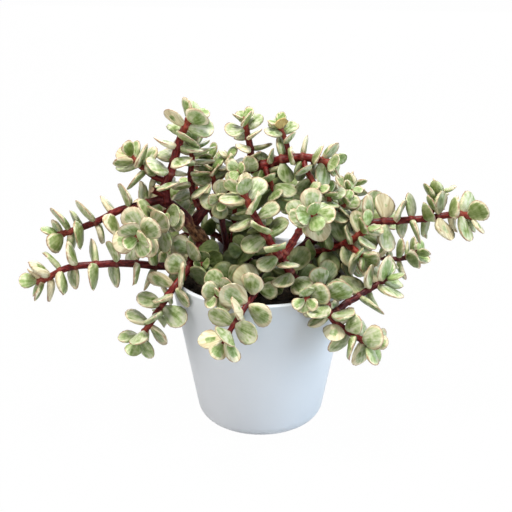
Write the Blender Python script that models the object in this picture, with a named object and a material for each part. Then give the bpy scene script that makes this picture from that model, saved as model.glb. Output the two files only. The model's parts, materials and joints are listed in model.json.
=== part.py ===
"""Potted elephant bush: a variegated Portulacaria in a plain white tapered pot.

Metres, +Z up. The origin is the middle of the pot's flat base, and the front faces -Y.
Routes, stem thicknesses and leaf sizes are listed in millimetres, and MM turns them into metres.
"""

import math
import random

import bmesh
import bpy
from mathutils import Matrix, Quaternion, Vector
from mathutils.bvhtree import BVHTree

MM = 0.001
GAP = 0.3 * MM

# Pot
RIM_RADIUS = 65.5 * MM
FOOT_RADIUS = 44.5 * MM
POT_HEIGHT = 114.5 * MM
POT_WALL = 3.6 * MM
POT_FLOOR = 5 * MM
FOOT_ROUNDING = 12 * MM
RIM_ROUNDING = 1.2 * MM
POT_SIDES = 40
FOOT_STEPS = 4
RIM_STEPS = 2
INNER_STEPS = 2
INNER_FOOT_ROUNDING = 0.7 * FOOT_ROUNDING
HOLE_RADIUS = 2.7 * MM
HOLE_RING = 24 * MM
HOLE_COUNT = 5
HOLE_SIDES = 12

# Soil
SOIL_TOP = 106 * MM
SOIL_CROWN = 1.5 * MM
SOIL_SIDES = 20
SOIL_SHOULDER = 0.85
SOIL_MOUND = 0.45
MOUND_RISE = 0.6
SOIL_GAP = 0.5 * MM
SOCKET_SLACK = 0.7 * MM

# Stems
LIMB_SIDES = 8
STEM_SIDES = 5
CURVE_STEP = 2 * MM
LONGEST_SPAN = 9 * MM
TRIM_STEP = 0.2 * MM

# Leaves, from the tip of a shoot towards its base
FIRST_PAIR = 1.5 * MM
FIRST_SPACE = 3.2 * MM
SPACE_GROWTH = 0.19
YOUNG_LEAF = 0.68
LEAF_GROWTH = 0.16
LEAF_WIDTH = 0.88
LEAF_BELLY = 0.58
LEAF_BLUNTNESS = 0.38
LEAF_ROOT = 0.2
LEAF_TWIST = 28
LEAF_THICKNESS = 3.2 * MM
LEAF_TO_ROOT = 2 * MM
TURN_DRIFT = 12
SPREAD_DRIFT = 8
SHORTEST = 0.9
LONGEST = 1.08
YOUNG_SPREAD = math.radians(44)
SPREAD_GROWTH = math.radians(11)
WIDEST_SPREAD = math.radians(80)
LIGHT_RISE = 0.75
GROWTH_CENTRE = Vector((0, 55 * MM, 0))
CLEARANCE = 1.05
LEAF_OUTER = 0.35
TRIES = [
    (turn, lean, size)
    for size in (1.0, 0.85, 0.7)
    for lean in (0, -14, 14)
    for turn in (0, 15, -15, 30, -30)
]


class Shoot:
    """A stem along a route, with pairs of leaves on its outer part.

    leafy is the length that carries leaves, leaf the longest leaf, turn where the first pair
    stands round the stem, light how far leaves face the light, and space the widest gap
    between pairs. Space grows from the tip by SPACE_GROWTH of that gap at each pair.
    """

    def __init__(self, name, parent, thick, route, leafy=0, leaf=17, turn=0, light=0.35,
                 space=7.4):
        self.name = name
        self.parent = parent
        self.radii = (thick[0] / 2 * MM, thick[1] / 2 * MM)
        self.route = [Vector(point) * MM for point in route]
        self.leafy = leafy * MM
        self.leaf = leaf * MM
        self.turn = math.radians(turn)
        self.light = light
        self.space = space * MM


# Woody limbs: name, what it grows from, thickness at base and tip, route from its root.
LIMBS = [
    Shoot("left_limb", "soil", (15, 7), [
        (-20, 11, 92), (-26, 9, 106), (-37, 3, 127), (-47, -3, 146), (-58, -7, 162), (-70, -8, 171)]),
    Shoot("middle_limb", "left_limb", (8, 6.5), [
        (-48, -3, 150), (-40, -4, 161), (-30, -2, 170), (-22, 0, 178), (-14, 2, 186), (-6, 4, 191)]),
    Shoot("dark_limb", "left_limb", (5, 4), [
        (-28, 8, 110), (-25, 14, 124), (-27, 16, 140), (-30, 18, 158), (-32, 19, 170)]),
    Shoot("right_limb", "soil", (9, 6), [
        (12, 14, 92), (15, 13, 108), (28, 8, 126), (44, 2, 140), (60, -3, 148)]),
    Shoot("back_left_limb", "soil", (9, 6), [
        (-16, 34, 92), (-18, 38, 108), (-30, 52, 128), (-40, 66, 142)]),
    Shoot("back_limb", "soil", (9, 6), [
        (6, 36, 92), (7, 41, 110), (6, 56, 132), (2, 70, 146)]),
    Shoot("back_right_limb", "soil", (8, 5.5), [
        (27, 28, 92), (31, 32, 108), (44, 44, 128), (56, 54, 140)]),
]

# Leafy shoots, left to right at the front, then the back.
SHOOTS = [
    Shoot("upper_left_long", "left_limb", (6.2, 4.6), [
        (-68, -8, 171), (-84, -10, 167), (-98, -12, 164), (-110, -13, 158), (-122, -14, 153),
        (-137, -15, 148), (-143, -15, 146)], leafy=72, turn=80, light=0.15, leaf=20, space=13),
    Shoot("upper_left_upright", "left_limb", (7.4, 5.3), [
        (-66, -8, 168), (-66, -8, 180), (-61, -6, 194), (-57, -4, 208), (-53, -3, 219),
        (-47, -2, 230)], leafy=58, turn=20, light=0.2, leaf=20, space=9.5),
    Shoot("cut_stub", "upper_left_upright", (4.4, 4.8), [
        (-66, -8, 174), (-71, -12, 177), (-75, -15, 180)]),
    Shoot("far_left_twig", "upper_left_upright", (4.9, 3.8), [
        (-65, -7, 184), (-73, -3, 185), (-82, -1, 191), (-91, 0, 200)],
        leafy=28, turn=60, light=0.3, leaf=19),
    Shoot("left_rosette", "left_limb", (7.4, 5.2), [
        (-55, -6, 158), (-64, -16, 157), (-73, -24, 156), (-80, -34, 156), (-83, -46, 156)],
        leafy=44, leaf=20, turn=30),
    Shoot("left_front_rosette", "left_limb", (4.9, 3.8), [
        (-61, -7, 165), (-65, -16, 164), (-70, -25, 162)], leafy=20, turn=10, leaf=18),
    Shoot("front_left_hanging", "left_limb", (6.4, 4.3), [
        (-41, 1, 135), (-46, -13, 134), (-49, -22, 129), (-53, -29, 123), (-58, -34, 118),
        (-64, -38, 111), (-70, -41, 102), (-76, -44, 93), (-82, -46, 85), (-86, -47, 79)],
        leafy=96, turn=65, leaf=19, light=0.5, space=8),
    Shoot("lower_left_long", "front_left_hanging", (6.2, 4.6), [
        (-50, -24, 127), (-60, -22, 126), (-72, -22, 126), (-84, -26, 129), (-98, -29, 131),
        (-111, -31, 131), (-132, -34, 130), (-147, -36, 123), (-155, -36, 119)],
        leafy=100, turn=70, light=0.15, leaf=20, space=14),
    Shoot("middle_upright", "middle_limb", (5.4, 3.8), [
        (-41, -4, 160), (-46, -2, 169), (-49, 1, 182), (-48, 4, 196), (-46, 6, 208)],
        leafy=44, turn=70, light=0.2, leaf=17),
    Shoot("dark_shoot", "dark_limb", (4.9, 3.8), [
        (-32, 19, 169), (-33, 20, 178), (-35, 20, 186), (-36, 18, 193)], leafy=22, turn=15),
    Shoot("front_left_rosette", "soil", (4.9, 3.8), [
        (-12, -14, 97), (-15, -20, 110), (-20, -36, 119), (-25, -50, 122), (-30, -63, 121)],
        leafy=44, turn=55, leaf=17),
    Shoot("inner_left_rosette", "left_limb", (4.9, 3.8), [
        (-38, 2, 128), (-38, -10, 126), (-39, -20, 127), (-41, -28, 129)], leafy=16, leaf=15, turn=20),
    Shoot("front_centre_hanging", "soil", (4.9, 3.8), [
        (2, -7, 97), (2, -16, 109), (1, -32, 117), (-2, -50, 121), (-6, -63, 120), (-12, -73, 115),
        (-18, -80, 108), (-23, -84, 101), (-26, -86, 96)],
        leafy=55, turn=70, leaf=20.5, light=0.4, space=9),
    Shoot("upper_middle_twig", "middle_limb", (4.4, 3.3), [
        (-30, -2, 170), (-33, 2, 180), (-34, 2, 191)], leafy=26, leaf=15, turn=0),
    Shoot("middle_twig", "middle_limb", (4.4, 3.3), [
        (-22, 0, 178), (-21, 4, 185), (-22, 5, 192), (-23, 5, 198)], leafy=18, leaf=13, turn=30),
    Shoot("middle_front_twig", "middle_limb", (4.4, 3.3), [
        (-30, -2, 170), (-29, -9, 172), (-28, -17, 174), (-27, -24, 175)], leafy=22, leaf=15, turn=75),
    Shoot("centre_left_twig", "middle_limb", (4.4, 3.3), [
        (-11, 3, 188), (-13, -5, 190), (-15, -12, 192)], leafy=18, leaf=14, turn=50),
    Shoot("centre_upright", "middle_limb", (5.9, 3.8), [
        (-8, 4, 190), (-7, 9, 199), (-8, 11, 206), (-10, 12, 215), (-12, 12, 224)],
        leafy=34, leaf=15, turn=30, light=0.2),
    Shoot("centre_right", "middle_limb", (7.8, 5.4), [
        (-7, 4, 190), (2, 3, 192), (10, 2, 195), (20, 0, 198), (33, -2, 199), (46, -4, 196),
        (51, -5, 195)], leafy=54, leaf=17, turn=60),
    Shoot("centre_right_twig", "centre_right", (3.9, 3.3), [
        (20, 0, 198), (18, 6, 207), (15, 9, 214), (12, 10, 221)], leafy=16, leaf=14, turn=10),
    Shoot("centre_right_side", "centre_right", (4.4, 3.3), [
        (30, -1, 198), (31, -7, 193), (35, -12, 187), (39, -16, 181)], leafy=20, leaf=15, turn=40),
    Shoot("centre_twig", "centre_right", (4.4, 3.3), [
        (3, 3, 192), (5, -5, 187), (8, -12, 181), (12, -18, 175)], leafy=24, turn=30),
    Shoot("front_middle", "soil", (7.4, 4.8), [
        (26, -31, 97), (27, -35, 110), (23, -43, 125), (16, -46, 138), (8, -46, 150), (0, -43, 163),
        (-7, -38, 175), (-13, -33, 187)], leafy=88, leaf=19, turn=15, light=0.6),
    Shoot("front_right_rosette", "front_middle", (5.4, 4.3), [
        (14, -46, 142), (20, -44, 150), (25, -42, 158), (30, -42, 168), (34, -48, 174),
        (35, -58, 177)], leafy=30, leaf=20, turn=20),
    Shoot("inner_middle", "soil", (4.9, 3.8), [
        (-3, 5, 97), (-4, 1, 112), (-8, -7, 125), (-12, -14, 136)],
        leafy=20, turn=35, leaf=18, light=0.5),
    Shoot("inner_front", "soil", (4.4, 3.3), [
        (10, -22, 97), (10, -27, 108), (9, -36, 116), (9, -45, 119)], leafy=26, leaf=17, turn=60),
    Shoot("front_right_hanging", "soil", (5.9, 4.3), [
        (36, -26, 97), (38, -34, 110), (40, -45, 121), (43, -55, 121), (45, -61, 112), (49, -62, 103),
        (57, -64, 97), (65, -66, 92), (73, -67, 88), (77, -68, 86)],
        leafy=72, turn=50, leaf=19, light=0.5),
    Shoot("front_right_twig", "front_right_hanging", (4.4, 3.3), [
        (38, -35, 111), (35, -46, 119), (32, -57, 121), (30, -66, 119)], leafy=28, leaf=17, turn=5),
    Shoot("right_lower", "front_right_hanging", (5.2, 4), [
        (46, -60, 107), (52, -58, 108), (58, -54, 112), (65, -50, 114), (73, -46, 118),
        (81, -42, 121), (87, -41, 126)], leafy=28, leaf=22, turn=25, light=0.5, space=9),
    Shoot("right_middle", "right_limb", (6.4, 4.8), [
        (16, 12, 111), (26, 2, 118), (36, -8, 129), (50, -14, 137), (60, -18, 142), (69, -20, 149),
        (74, -21, 155)], leafy=46, leaf=18, turn=65),
    Shoot("right_front_rosette", "right_middle", (4.9, 3.8), [
        (59, -18, 142), (65, -27, 140), (70, -36, 138)], leafy=20, leaf=16, turn=55),
    Shoot("inner_right", "soil", (4.9, 3.8), [
        (41, 8, 97), (48, 6, 110), (58, -2, 120), (67, -12, 124)], leafy=34, leaf=17, turn=20),
    Shoot("right_twig", "right_limb", (4.4, 3.3), [
        (52, 0, 144), (54, -2, 154), (57, -5, 163), (60, -8, 170)],
        leafy=26, leaf=13, turn=35, light=0.2),
    Shoot("right_upper", "right_limb", (4.4, 3.3), [
        (30, 7, 128), (38, 11, 140), (48, 13, 150), (58, 14, 160), (65, 14, 170)],
        leafy=36, leaf=14, turn=80, light=0.25),
    Shoot("right_long", "right_limb", (6.2, 4.6), [
        (58, -2, 147), (72, -5, 151), (83, -6, 153), (101, -8, 155), (118, -9, 157),
        (133, -10, 160), (141, -10, 160), (149, -10, 158)], leafy=88, leaf=20, turn=45, light=0.5,
        space=9.5),
    Shoot("right_long_side", "right_long", (3.9, 3.3), [
        (118, -9, 157), (121, -6, 163), (124, -3, 169), (127, 0, 175)], leafy=20, leaf=16, turn=20,
        light=0.2),
    Shoot("right_high_twig", "right_limb", (4.4, 3.3), [
        (38, 4, 135), (44, -4, 150), (47, -9, 164), (48, -12, 177)], leafy=44, leaf=15, turn=60),
    Shoot("right_back_twig", "right_limb", (4.9, 3.8), [
        (44, 2, 140), (56, 12, 131), (73, 21, 119), (92, 24, 113), (106, 25, 113), (116, 25, 118)],
        leafy=50, leaf=17, turn=20),
    Shoot("left_back_side", "left_limb", (4.9, 3.8), [
        (-51, -4, 152), (-62, 10, 152), (-72, 24, 148), (-80, 38, 142), (-84, 48, 136)],
        leafy=52, turn=45),
    Shoot("right_back_side", "right_limb", (4.9, 3.8), [
        (50, 0, 143), (66, 18, 148), (78, 32, 146), (88, 46, 140), (94, 56, 133)],
        leafy=56, turn=10),
    Shoot("back_middle", "back_left_limb", (4.4, 3.3), [
        (-20, 41, 112), (-10, 46, 130), (-4, 50, 144), (-2, 52, 158)], leafy=44, turn=55),
    Shoot("back_left_low", "back_left_limb", (5.4, 3.8), [
        (-39, 65, 141), (-54, 76, 144), (-68, 84, 140), (-80, 90, 132), (-88, 94, 124)],
        leafy=58, turn=30),
    Shoot("back_left_high", "back_left_limb", (4.9, 3.8), [
        (-31, 53, 130), (-42, 58, 148), (-52, 58, 160)], leafy=34, turn=75),
    Shoot("back_left_hanging", "back_left_limb", (4.9, 3.8), [
        (-19, 39, 110), (-32, 47, 122), (-46, 53, 123), (-57, 58, 119), (-68, 64, 110),
        (-76, 68, 100)], leafy=62, turn=60),
    Shoot("back_left_upright", "back_left_limb", (4.4, 3.3), [
        (-21, 42, 114), (-20, 38, 132), (-19, 37, 146), (-20, 37, 158)], leafy=38, turn=15),
    Shoot("back_high", "back_limb", (4.9, 3.8), [
        (2, 69, 145), (1, 80, 153), (-1, 92, 156)], leafy=24, turn=50),
    Shoot("back_long", "back_limb", (5.4, 3.8), [
        (6, 56, 132), (12, 76, 141), (18, 96, 141), (22, 112, 134), (24, 124, 124)],
        leafy=72, turn=20),
    Shoot("back_hanging", "back_limb", (4.9, 3.8), [
        (7, 43, 113), (2, 58, 122), (-4, 68, 121), (-9, 78, 113), (-13, 87, 102), (-16, 93, 91)],
        leafy=60, turn=85),
    Shoot("back_right_high", "back_right_limb", (4.9, 3.8), [
        (55, 53, 139), (64, 60, 150), (71, 64, 158)], leafy=22, turn=10),
    Shoot("back_right_long", "back_right_limb", (5.4, 3.8), [
        (50, 49, 134), (56, 66, 138), (60, 82, 136), (62, 96, 129), (61, 108, 119)],
        leafy=66, turn=70),
    Shoot("back_right_hanging", "back_right_limb", (4.9, 3.8), [
        (33, 34, 112), (42, 48, 122), (50, 60, 121), (58, 68, 114), (64, 74, 104), (68, 78, 95)],
        leafy=60, turn=35),
]

POT_WHITE = (0.83, 0.85, 0.87, 1)
SOIL_BROWN = (0.05, 0.035, 0.025, 1)
BARK_BROWN = (0.13, 0.06, 0.035, 1)
SHOOT_GREEN = (0.36, 0.42, 0.22, 1)


def material(name, colour, roughness):
    made = bpy.data.materials.new(name)
    made.use_nodes = True
    shader = made.node_tree.nodes["Principled BSDF"]
    shader.inputs["Base Color"].default_value = colour
    shader.inputs["Roughness"].default_value = roughness
    shader.inputs["Metallic"].default_value = 0.0
    return made


def add_object(name, mesh, finish):
    made = bpy.data.objects.new(name, mesh)
    bpy.context.scene.collection.objects.link(made)
    mesh.materials.clear()
    mesh.materials.append(finish)
    return made


def mesh_from(name, points, faces):
    mesh = bpy.data.meshes.new(name)
    mesh.from_pydata(points, [], faces)
    mesh.update()
    return mesh


def shape_of(body):
    corners = [vertex.co.copy() for vertex in body.data.vertices]
    return corners, [tuple(face.vertices) for face in body.data.polygons]


def tree_of(points, faces):
    return BVHTree.FromPolygons(points, faces)


# ---------------------------------------------------------------- routes and tubes


def smooth_route(points):
    """A smooth curve through the route's own points, and where on it those points are."""
    ends = [2 * points[0] - points[1], *points, 2 * points[-1] - points[-2]]
    curve = []
    knots = []
    for before, start, end, after in zip(ends, ends[1:], ends[2:], ends[3:]):
        knots.append(len(curve))
        count = max(1, round((end - start).length / CURVE_STEP))
        for i in range(count):
            t = i / count
            curve.append(0.5 * (
                2 * start + (end - before) * t
                + (2 * before - 5 * start + 4 * end - after) * t * t
                + (3 * start - before - 3 * end + after) * t ** 3))
    knots.append(len(curve))
    curve.append(points[-1].copy())
    return curve, knots


def tube_faces(rings, sides):
    """The faces of a closed tube whose corners are listed ring by ring."""
    faces = [tuple(reversed(range(sides)))]
    for i in range(rings - 1):
        for k in range(sides):
            a = i * sides + k
            b = i * sides + (k + 1) % sides
            faces.append((a, b, b + sides, a + sides))
    faces.append(tuple(range((rings - 1) * sides, rings * sides)))
    return faces


def lengths_along(curve):
    """How far each point of a curve lies from its start."""
    far = [0.0]
    for start, end in zip(curve, curve[1:]):
        far.append(far[-1] + (end - start).length)
    return far


class Stem:
    """A curve with a thickness and a frame at each point, so leaves know which way is out."""

    def __init__(self, route, radii):
        self.curve, knots = smooth_route(route)
        self.far = lengths_along(self.curve)
        self.knots = [self.far[knot] for knot in knots]
        self.length = self.far[-1]
        self.radii = radii
        curve = self.curve
        self.aims = []
        for i in range(len(curve)):
            ahead = curve[min(i + 1, len(curve) - 1)] - curve[max(i - 1, 0)]
            self.aims.append(ahead.normalized())
        side = self.aims[0].cross(Vector((0, 0, 1)))
        if side.length < 0.1:
            side = Vector((1, 0, 0))
        self.sides = []
        for aim in self.aims:
            side = (side - side.dot(aim) * aim).normalized()
            self.sides.append(side)

    def at(self, distance):
        """The point, aim, side and radius at a distance from the root."""
        distance = min(max(distance, 0.0), self.length)
        i = 0
        while i < len(self.far) - 2 and self.far[i + 1] < distance:
            i += 1
        t = (distance - self.far[i]) / (self.far[i + 1] - self.far[i])
        radius = self.radii[0] + (self.radii[1] - self.radii[0]) * distance / self.length
        return (
            self.curve[i].lerp(self.curve[i + 1], t),
            self.aims[i].lerp(self.aims[i + 1], t).normalized(),
            self.sides[i].lerp(self.sides[i + 1], t).normalized(),
            radius,
        )

    def ring(self, distance, sides, grow=0.0):
        point, aim, side, radius = self.at(distance)
        across = aim.cross(side)
        turns = [2 * math.pi * k / sides for k in range(sides)]
        return [
            point + (radius + grow) * (math.cos(turn) * side + math.sin(turn) * across)
            for turn in turns
        ]

    def tube(self, sides, start=0.0):
        """Corners and faces of a closed tube with rings at its start, at each knot and between."""
        stops = [start]
        for knot in self.knots:
            if knot > start + self.radii[1]:
                spans = math.ceil((knot - stops[-1]) / LONGEST_SPAN)
                base = stops[-1]
                stops.extend(base + (knot - base) * k / spans for k in range(1, spans + 1))
        points = [corner for stop in stops for corner in self.ring(stop, sides)]
        return points, tube_faces(len(stops), sides)


def clear_start(stem, sides, parent_tree):
    """How far along its route a stem first stands a gap clear of what it grows from."""
    start = 0.0
    while start < stem.length / 2:
        corners = [*stem.ring(start, sides), stem.at(start)[0]]
        apart = min(parent_tree.find_nearest(corner)[3] for corner in corners)
        if apart >= GAP and not tree_of(*stem.tube(sides, start)).overlap(parent_tree):
            return start
        start += TRIM_STEP
    return start


# ---------------------------------------------------------------- leaves


def leaf_places(shoot, stem, start):
    """Where each leaf grows: distance from the root, turn about the stem, spread and length."""
    places = []
    back = FIRST_PAIR
    space = FIRST_SPACE
    pair = 0
    while back < shoot.leafy and stem.length - back > start + LEAF_TO_ROOT:
        size = min(1.0, YOUNG_LEAF + LEAF_GROWTH * pair)
        spread = min(WIDEST_SPREAD, YOUNG_SPREAD + SPREAD_GROWTH * pair)
        for half in (0, 1):
            around = shoot.turn + math.pi / 2 * pair + math.pi * half
            places.append((stem.length - back, around, spread, shoot.leaf * size))
        back += space
        space = min(shoot.space, space + SPACE_GROWTH * shoot.space)
        pair += 1
    return places


def leaf_matrix(stem, distance, around, spread, twist, pull):
    """The leaf's own frame: X along the leaf, Y across it, Z out of its upper face."""
    point, aim, side, radius = stem.at(distance)
    out = Quaternion(aim, around) @ side
    point = point + LEAF_ROOT * radius * out
    along = aim * math.cos(spread) + out * math.sin(spread)
    face = aim * math.sin(spread) - out * math.cos(spread)
    light = point - GROWTH_CENTRE
    light.z = 0
    light = light.normalized() + Vector((0, 0, LIGHT_RISE))
    light -= light.dot(along) * along
    if face.dot(light) < 0:
        face = -face
    face = face.lerp(light.normalized(), pull)
    across = face.cross(along)
    if across.length < 1e-6:
        across = aim.cross(along)
    across = Quaternion(along, twist) @ across.normalized()
    face = along.cross(across).normalized()
    matrix = Matrix((along, across, face)).transposed().to_4x4()
    matrix.translation = point
    return matrix


def leaf_shape(matrix, length, grow=1.0, root=0.0):
    """A plain thick egg-shaped leaf: five corners round the edge and one on each face."""
    wide = length * LEAF_WIDTH / 2 * grow
    thick = LEAF_THICKNESS / 2 * grow
    tip = length * (1 + grow) / 2
    edge = [
        (root * length, 0), (LEAF_BELLY * length, wide), (tip, LEAF_BLUNTNESS * wide),
        (tip, -LEAF_BLUNTNESS * wide), (LEAF_BELLY * length, -wide)]
    corners = [(x, y, 0) for x, y in edge]
    corners += [(LEAF_BELLY * length, 0, thick), (LEAF_BELLY * length, 0, -thick)]
    upper = len(edge)
    faces = []
    for k in range(len(edge)):
        following = (k + 1) % len(edge)
        faces.append((k, following, upper + 1))
        faces.append((following, k, upper))
    points = [matrix @ Vector(corner) for corner in corners]
    return points, [tuple(reversed(face)) for face in faces]


class Obstacle:
    """A solid that leaves keep clear of. A leaf's own shoot only minds the leaf's outer part."""

    def __init__(self, owner, shape, outer=None):
        self.owner = owner
        self.tree = tree_of(*shape)
        self.outer = tree_of(*outer) if outer else self.tree
        self.low, self.high = corners_of(shape[0])

    def clashes(self, other):
        for i in range(3):
            if self.low[i] > other.high[i] or self.high[i] < other.low[i]:
                return False
        if self.owner == other.owner:
            return bool(self.outer.overlap(other.outer))
        return bool(self.tree.overlap(other.tree))


def corners_of(points):
    low = [min(point[i] for point in points) for i in range(3)]
    high = [max(point[i] for point in points) for i in range(3)]
    return low, high


def leaf_obstacle(owner, matrix, length, grow=1.0):
    full = leaf_shape(matrix, length, grow)
    return Obstacle(owner, full, leaf_shape(matrix, length, grow, root=LEAF_OUTER))


def in_pot_or_soil(point):
    """True inside the pot's outer shape below its rim, where only soil and stems belong."""
    beside = math.hypot(point.x, point.y)
    return point.z < POT_HEIGHT + GAP and beside < outer_radius(point.z) + GAP


def leaves_of(shoot, stem, start, seed, obstacles):
    """The shape of each leaf that a shoot has room for, and what it adds to the obstacles."""
    draw = random.Random(seed)
    grown = []
    for distance, around, spread, length in leaf_places(shoot, stem, start):
        around += math.radians(draw.uniform(-TURN_DRIFT, TURN_DRIFT))
        spread += math.radians(draw.uniform(-SPREAD_DRIFT, SPREAD_DRIFT))
        twist = math.radians(draw.uniform(-LEAF_TWIST, LEAF_TWIST))
        length *= draw.uniform(SHORTEST, LONGEST)
        for turn, lean, size in TRIES:
            matrix = leaf_matrix(
                stem, distance, around + math.radians(turn), spread + math.radians(lean), twist,
                shoot.light)
            trial = leaf_obstacle(shoot.name, matrix, length * size, CLEARANCE)
            corners = leaf_shape(matrix, length * size, CLEARANCE)[0][1:]
            if any(in_pot_or_soil(corner) for corner in corners):
                continue
            if not any(trial.clashes(other) for other in obstacles):
                grown.append((matrix, length * size))
                obstacles.append(leaf_obstacle(shoot.name, matrix, length * size))
                break
    return grown


def united(name, stem_mesh, leaf_meshes, finish):
    """One closed body from a stem and its leaves."""
    body = add_object(name, stem_mesh, finish)
    if not leaf_meshes:
        return body
    group = bpy.data.collections.new(name + "_leaves")
    bpy.context.scene.collection.children.link(group)
    leaves = []
    for mesh in leaf_meshes:
        leaf = bpy.data.objects.new("leaf", mesh)
        group.objects.link(leaf)
        leaves.append(leaf)
    union = body.modifiers.new("Leaves", "BOOLEAN")
    union.operation = "UNION"
    union.operand_type = "COLLECTION"
    union.collection = group
    union.solver = "EXACT"
    bpy.context.view_layer.update()
    graph = bpy.context.evaluated_depsgraph_get()
    joined = bpy.data.meshes.new_from_object(body.evaluated_get(graph))
    body.modifiers.clear()
    body.data = joined
    joined.materials.clear()
    joined.materials.append(finish)
    for leaf in leaves:
        bpy.data.objects.remove(leaf)
    bpy.data.collections.remove(group)
    return body


# ---------------------------------------------------------------- pot and soil


def arc(centre, radius, start, end, count):
    """Points of an arc in the plane of radius and height, angles in degrees."""
    points = []
    for i in range(count + 1):
        angle = math.radians(start + (end - start) * i / count)
        points.append((centre[0] + radius * math.cos(angle), centre[1] + radius * math.sin(angle)))
    return points


def turned_mesh(name, profile, sides):
    """A closed body turned about Z from a profile that starts and ends on the axis."""
    points = [(0, 0, profile[0][1])]
    for radius, height in profile[1:-1]:
        for k in range(sides):
            turn = 2 * math.pi * k / sides
            points.append((radius * math.cos(turn), radius * math.sin(turn), height))
    points.append((0, 0, profile[-1][1]))
    last = len(points) - 1
    faces = []
    rings = len(profile) - 2
    for k in range(sides):
        following = (k + 1) % sides
        faces.append((0, 1 + following, 1 + k))
        for ring in range(rings - 1):
            a = 1 + ring * sides + k
            b = 1 + ring * sides + following
            faces.append((a, b, b + sides, a + sides))
        top = 1 + (rings - 1) * sides
        faces.append((top + k, top + following, last))
    return mesh_from(name, points, faces)


def cut(body, cutters):
    """Takes each cutter out of a body and deletes it."""
    for cutter in cutters:
        difference = body.modifiers.new("Cut", "BOOLEAN")
        difference.operation = "DIFFERENCE"
        difference.object = cutter
        difference.solver = "EXACT"
    bpy.context.view_layer.update()
    graph = bpy.context.evaluated_depsgraph_get()
    result = bpy.data.meshes.new_from_object(body.evaluated_get(graph))
    finish = body.data.materials[0]
    body.modifiers.clear()
    body.data = result
    result.materials.clear()
    result.materials.append(finish)
    for cutter in cutters:
        bpy.data.objects.remove(cutter)


def slope():
    """The angle of the pot's wall from upright, in degrees."""
    return math.degrees(math.atan2(RIM_RADIUS - FOOT_RADIUS, POT_HEIGHT))


def tucked(rounding, side=-1):
    """How far inside a sloping wall a rounding's centre lies: side is 1 at the rim's outer edge."""
    lean = math.radians(slope())
    return rounding * (1 + side * math.sin(lean)) / math.cos(lean)


def outer_radius(height):
    return FOOT_RADIUS + (RIM_RADIUS - FOOT_RADIUS) * height / POT_HEIGHT


def inner_radius(height):
    return outer_radius(height) - POT_WALL


def make_pot(finish):
    lean = slope()
    rounding = INNER_FOOT_ROUNDING
    foot = (FOOT_RADIUS - tucked(FOOT_ROUNDING), FOOT_ROUNDING)
    rim = (RIM_RADIUS - tucked(RIM_ROUNDING, 1), POT_HEIGHT - RIM_ROUNDING)
    inner_rim = (RIM_RADIUS - POT_WALL + tucked(RIM_ROUNDING), POT_HEIGHT - RIM_ROUNDING)
    inner_foot = (inner_radius(POT_FLOOR) - tucked(rounding), POT_FLOOR + rounding)
    profile = [
        (0, 0),
        *arc(foot, FOOT_ROUNDING, -90, -lean, FOOT_STEPS),
        *arc(rim, RIM_ROUNDING, -lean, 90, RIM_STEPS),
        *arc(inner_rim, RIM_ROUNDING, 90, 180 - lean, 1),
        *arc(inner_foot, rounding, -lean, -90, INNER_STEPS),
        (0, POT_FLOOR),
    ]
    pot = add_object("pot", turned_mesh("pot", profile, POT_SIDES), finish)
    drills = []
    for k in range(HOLE_COUNT):
        turn = 2 * math.pi * (k / HOLE_COUNT + 0.5 / POT_SIDES)
        place = Vector((HOLE_RING * math.cos(turn), HOLE_RING * math.sin(turn), POT_FLOOR / 2))
        drill = bmesh.new()
        bmesh.ops.create_cone(
            drill, cap_ends=True, segments=HOLE_SIDES, radius1=HOLE_RADIUS, radius2=HOLE_RADIUS,
            depth=POT_FLOOR * 2, matrix=Matrix.Translation(place))
        mesh = bpy.data.meshes.new("drill")
        drill.to_mesh(mesh)
        drill.free()
        drills.append(add_object("drill", mesh, finish))
    cut(pot, drills)
    return pot


def make_soil(finish, planted):
    """The soil fills the pot to below the rim, with a snug socket round each planted stem."""
    lean = slope()
    rounding = INNER_FOOT_ROUNDING
    bottom = POT_FLOOR + GAP
    foot = (inner_radius(POT_FLOOR) - SOIL_GAP - tucked(rounding), bottom + rounding)
    edge = inner_radius(SOIL_TOP) - SOIL_GAP
    profile = [
        (0, bottom),
        *arc(foot, rounding, -90, -lean, INNER_STEPS),
        (edge, SOIL_TOP - SOIL_CROWN),
        (edge * SOIL_SHOULDER, SOIL_TOP),
        (edge * SOIL_MOUND, SOIL_TOP + SOIL_CROWN * MOUND_RISE),
        (0, SOIL_TOP + SOIL_CROWN),
    ]
    soil = add_object("potting_soil", turned_mesh("potting_soil", profile, SOIL_SIDES), finish)
    sockets = []
    for shoot in planted:
        radii = [radius + SOCKET_SLACK for radius in shoot.radii]
        below = shoot.route[0] - (shoot.route[1] - shoot.route[0]).normalized() * SOCKET_SLACK
        points, faces = Stem([below, *shoot.route[1:4]], radii).tube(LIMB_SIDES)
        sockets.append(add_object("socket", mesh_from("socket", points, faces), finish))
    cut(soil, sockets)
    return soil


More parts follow.
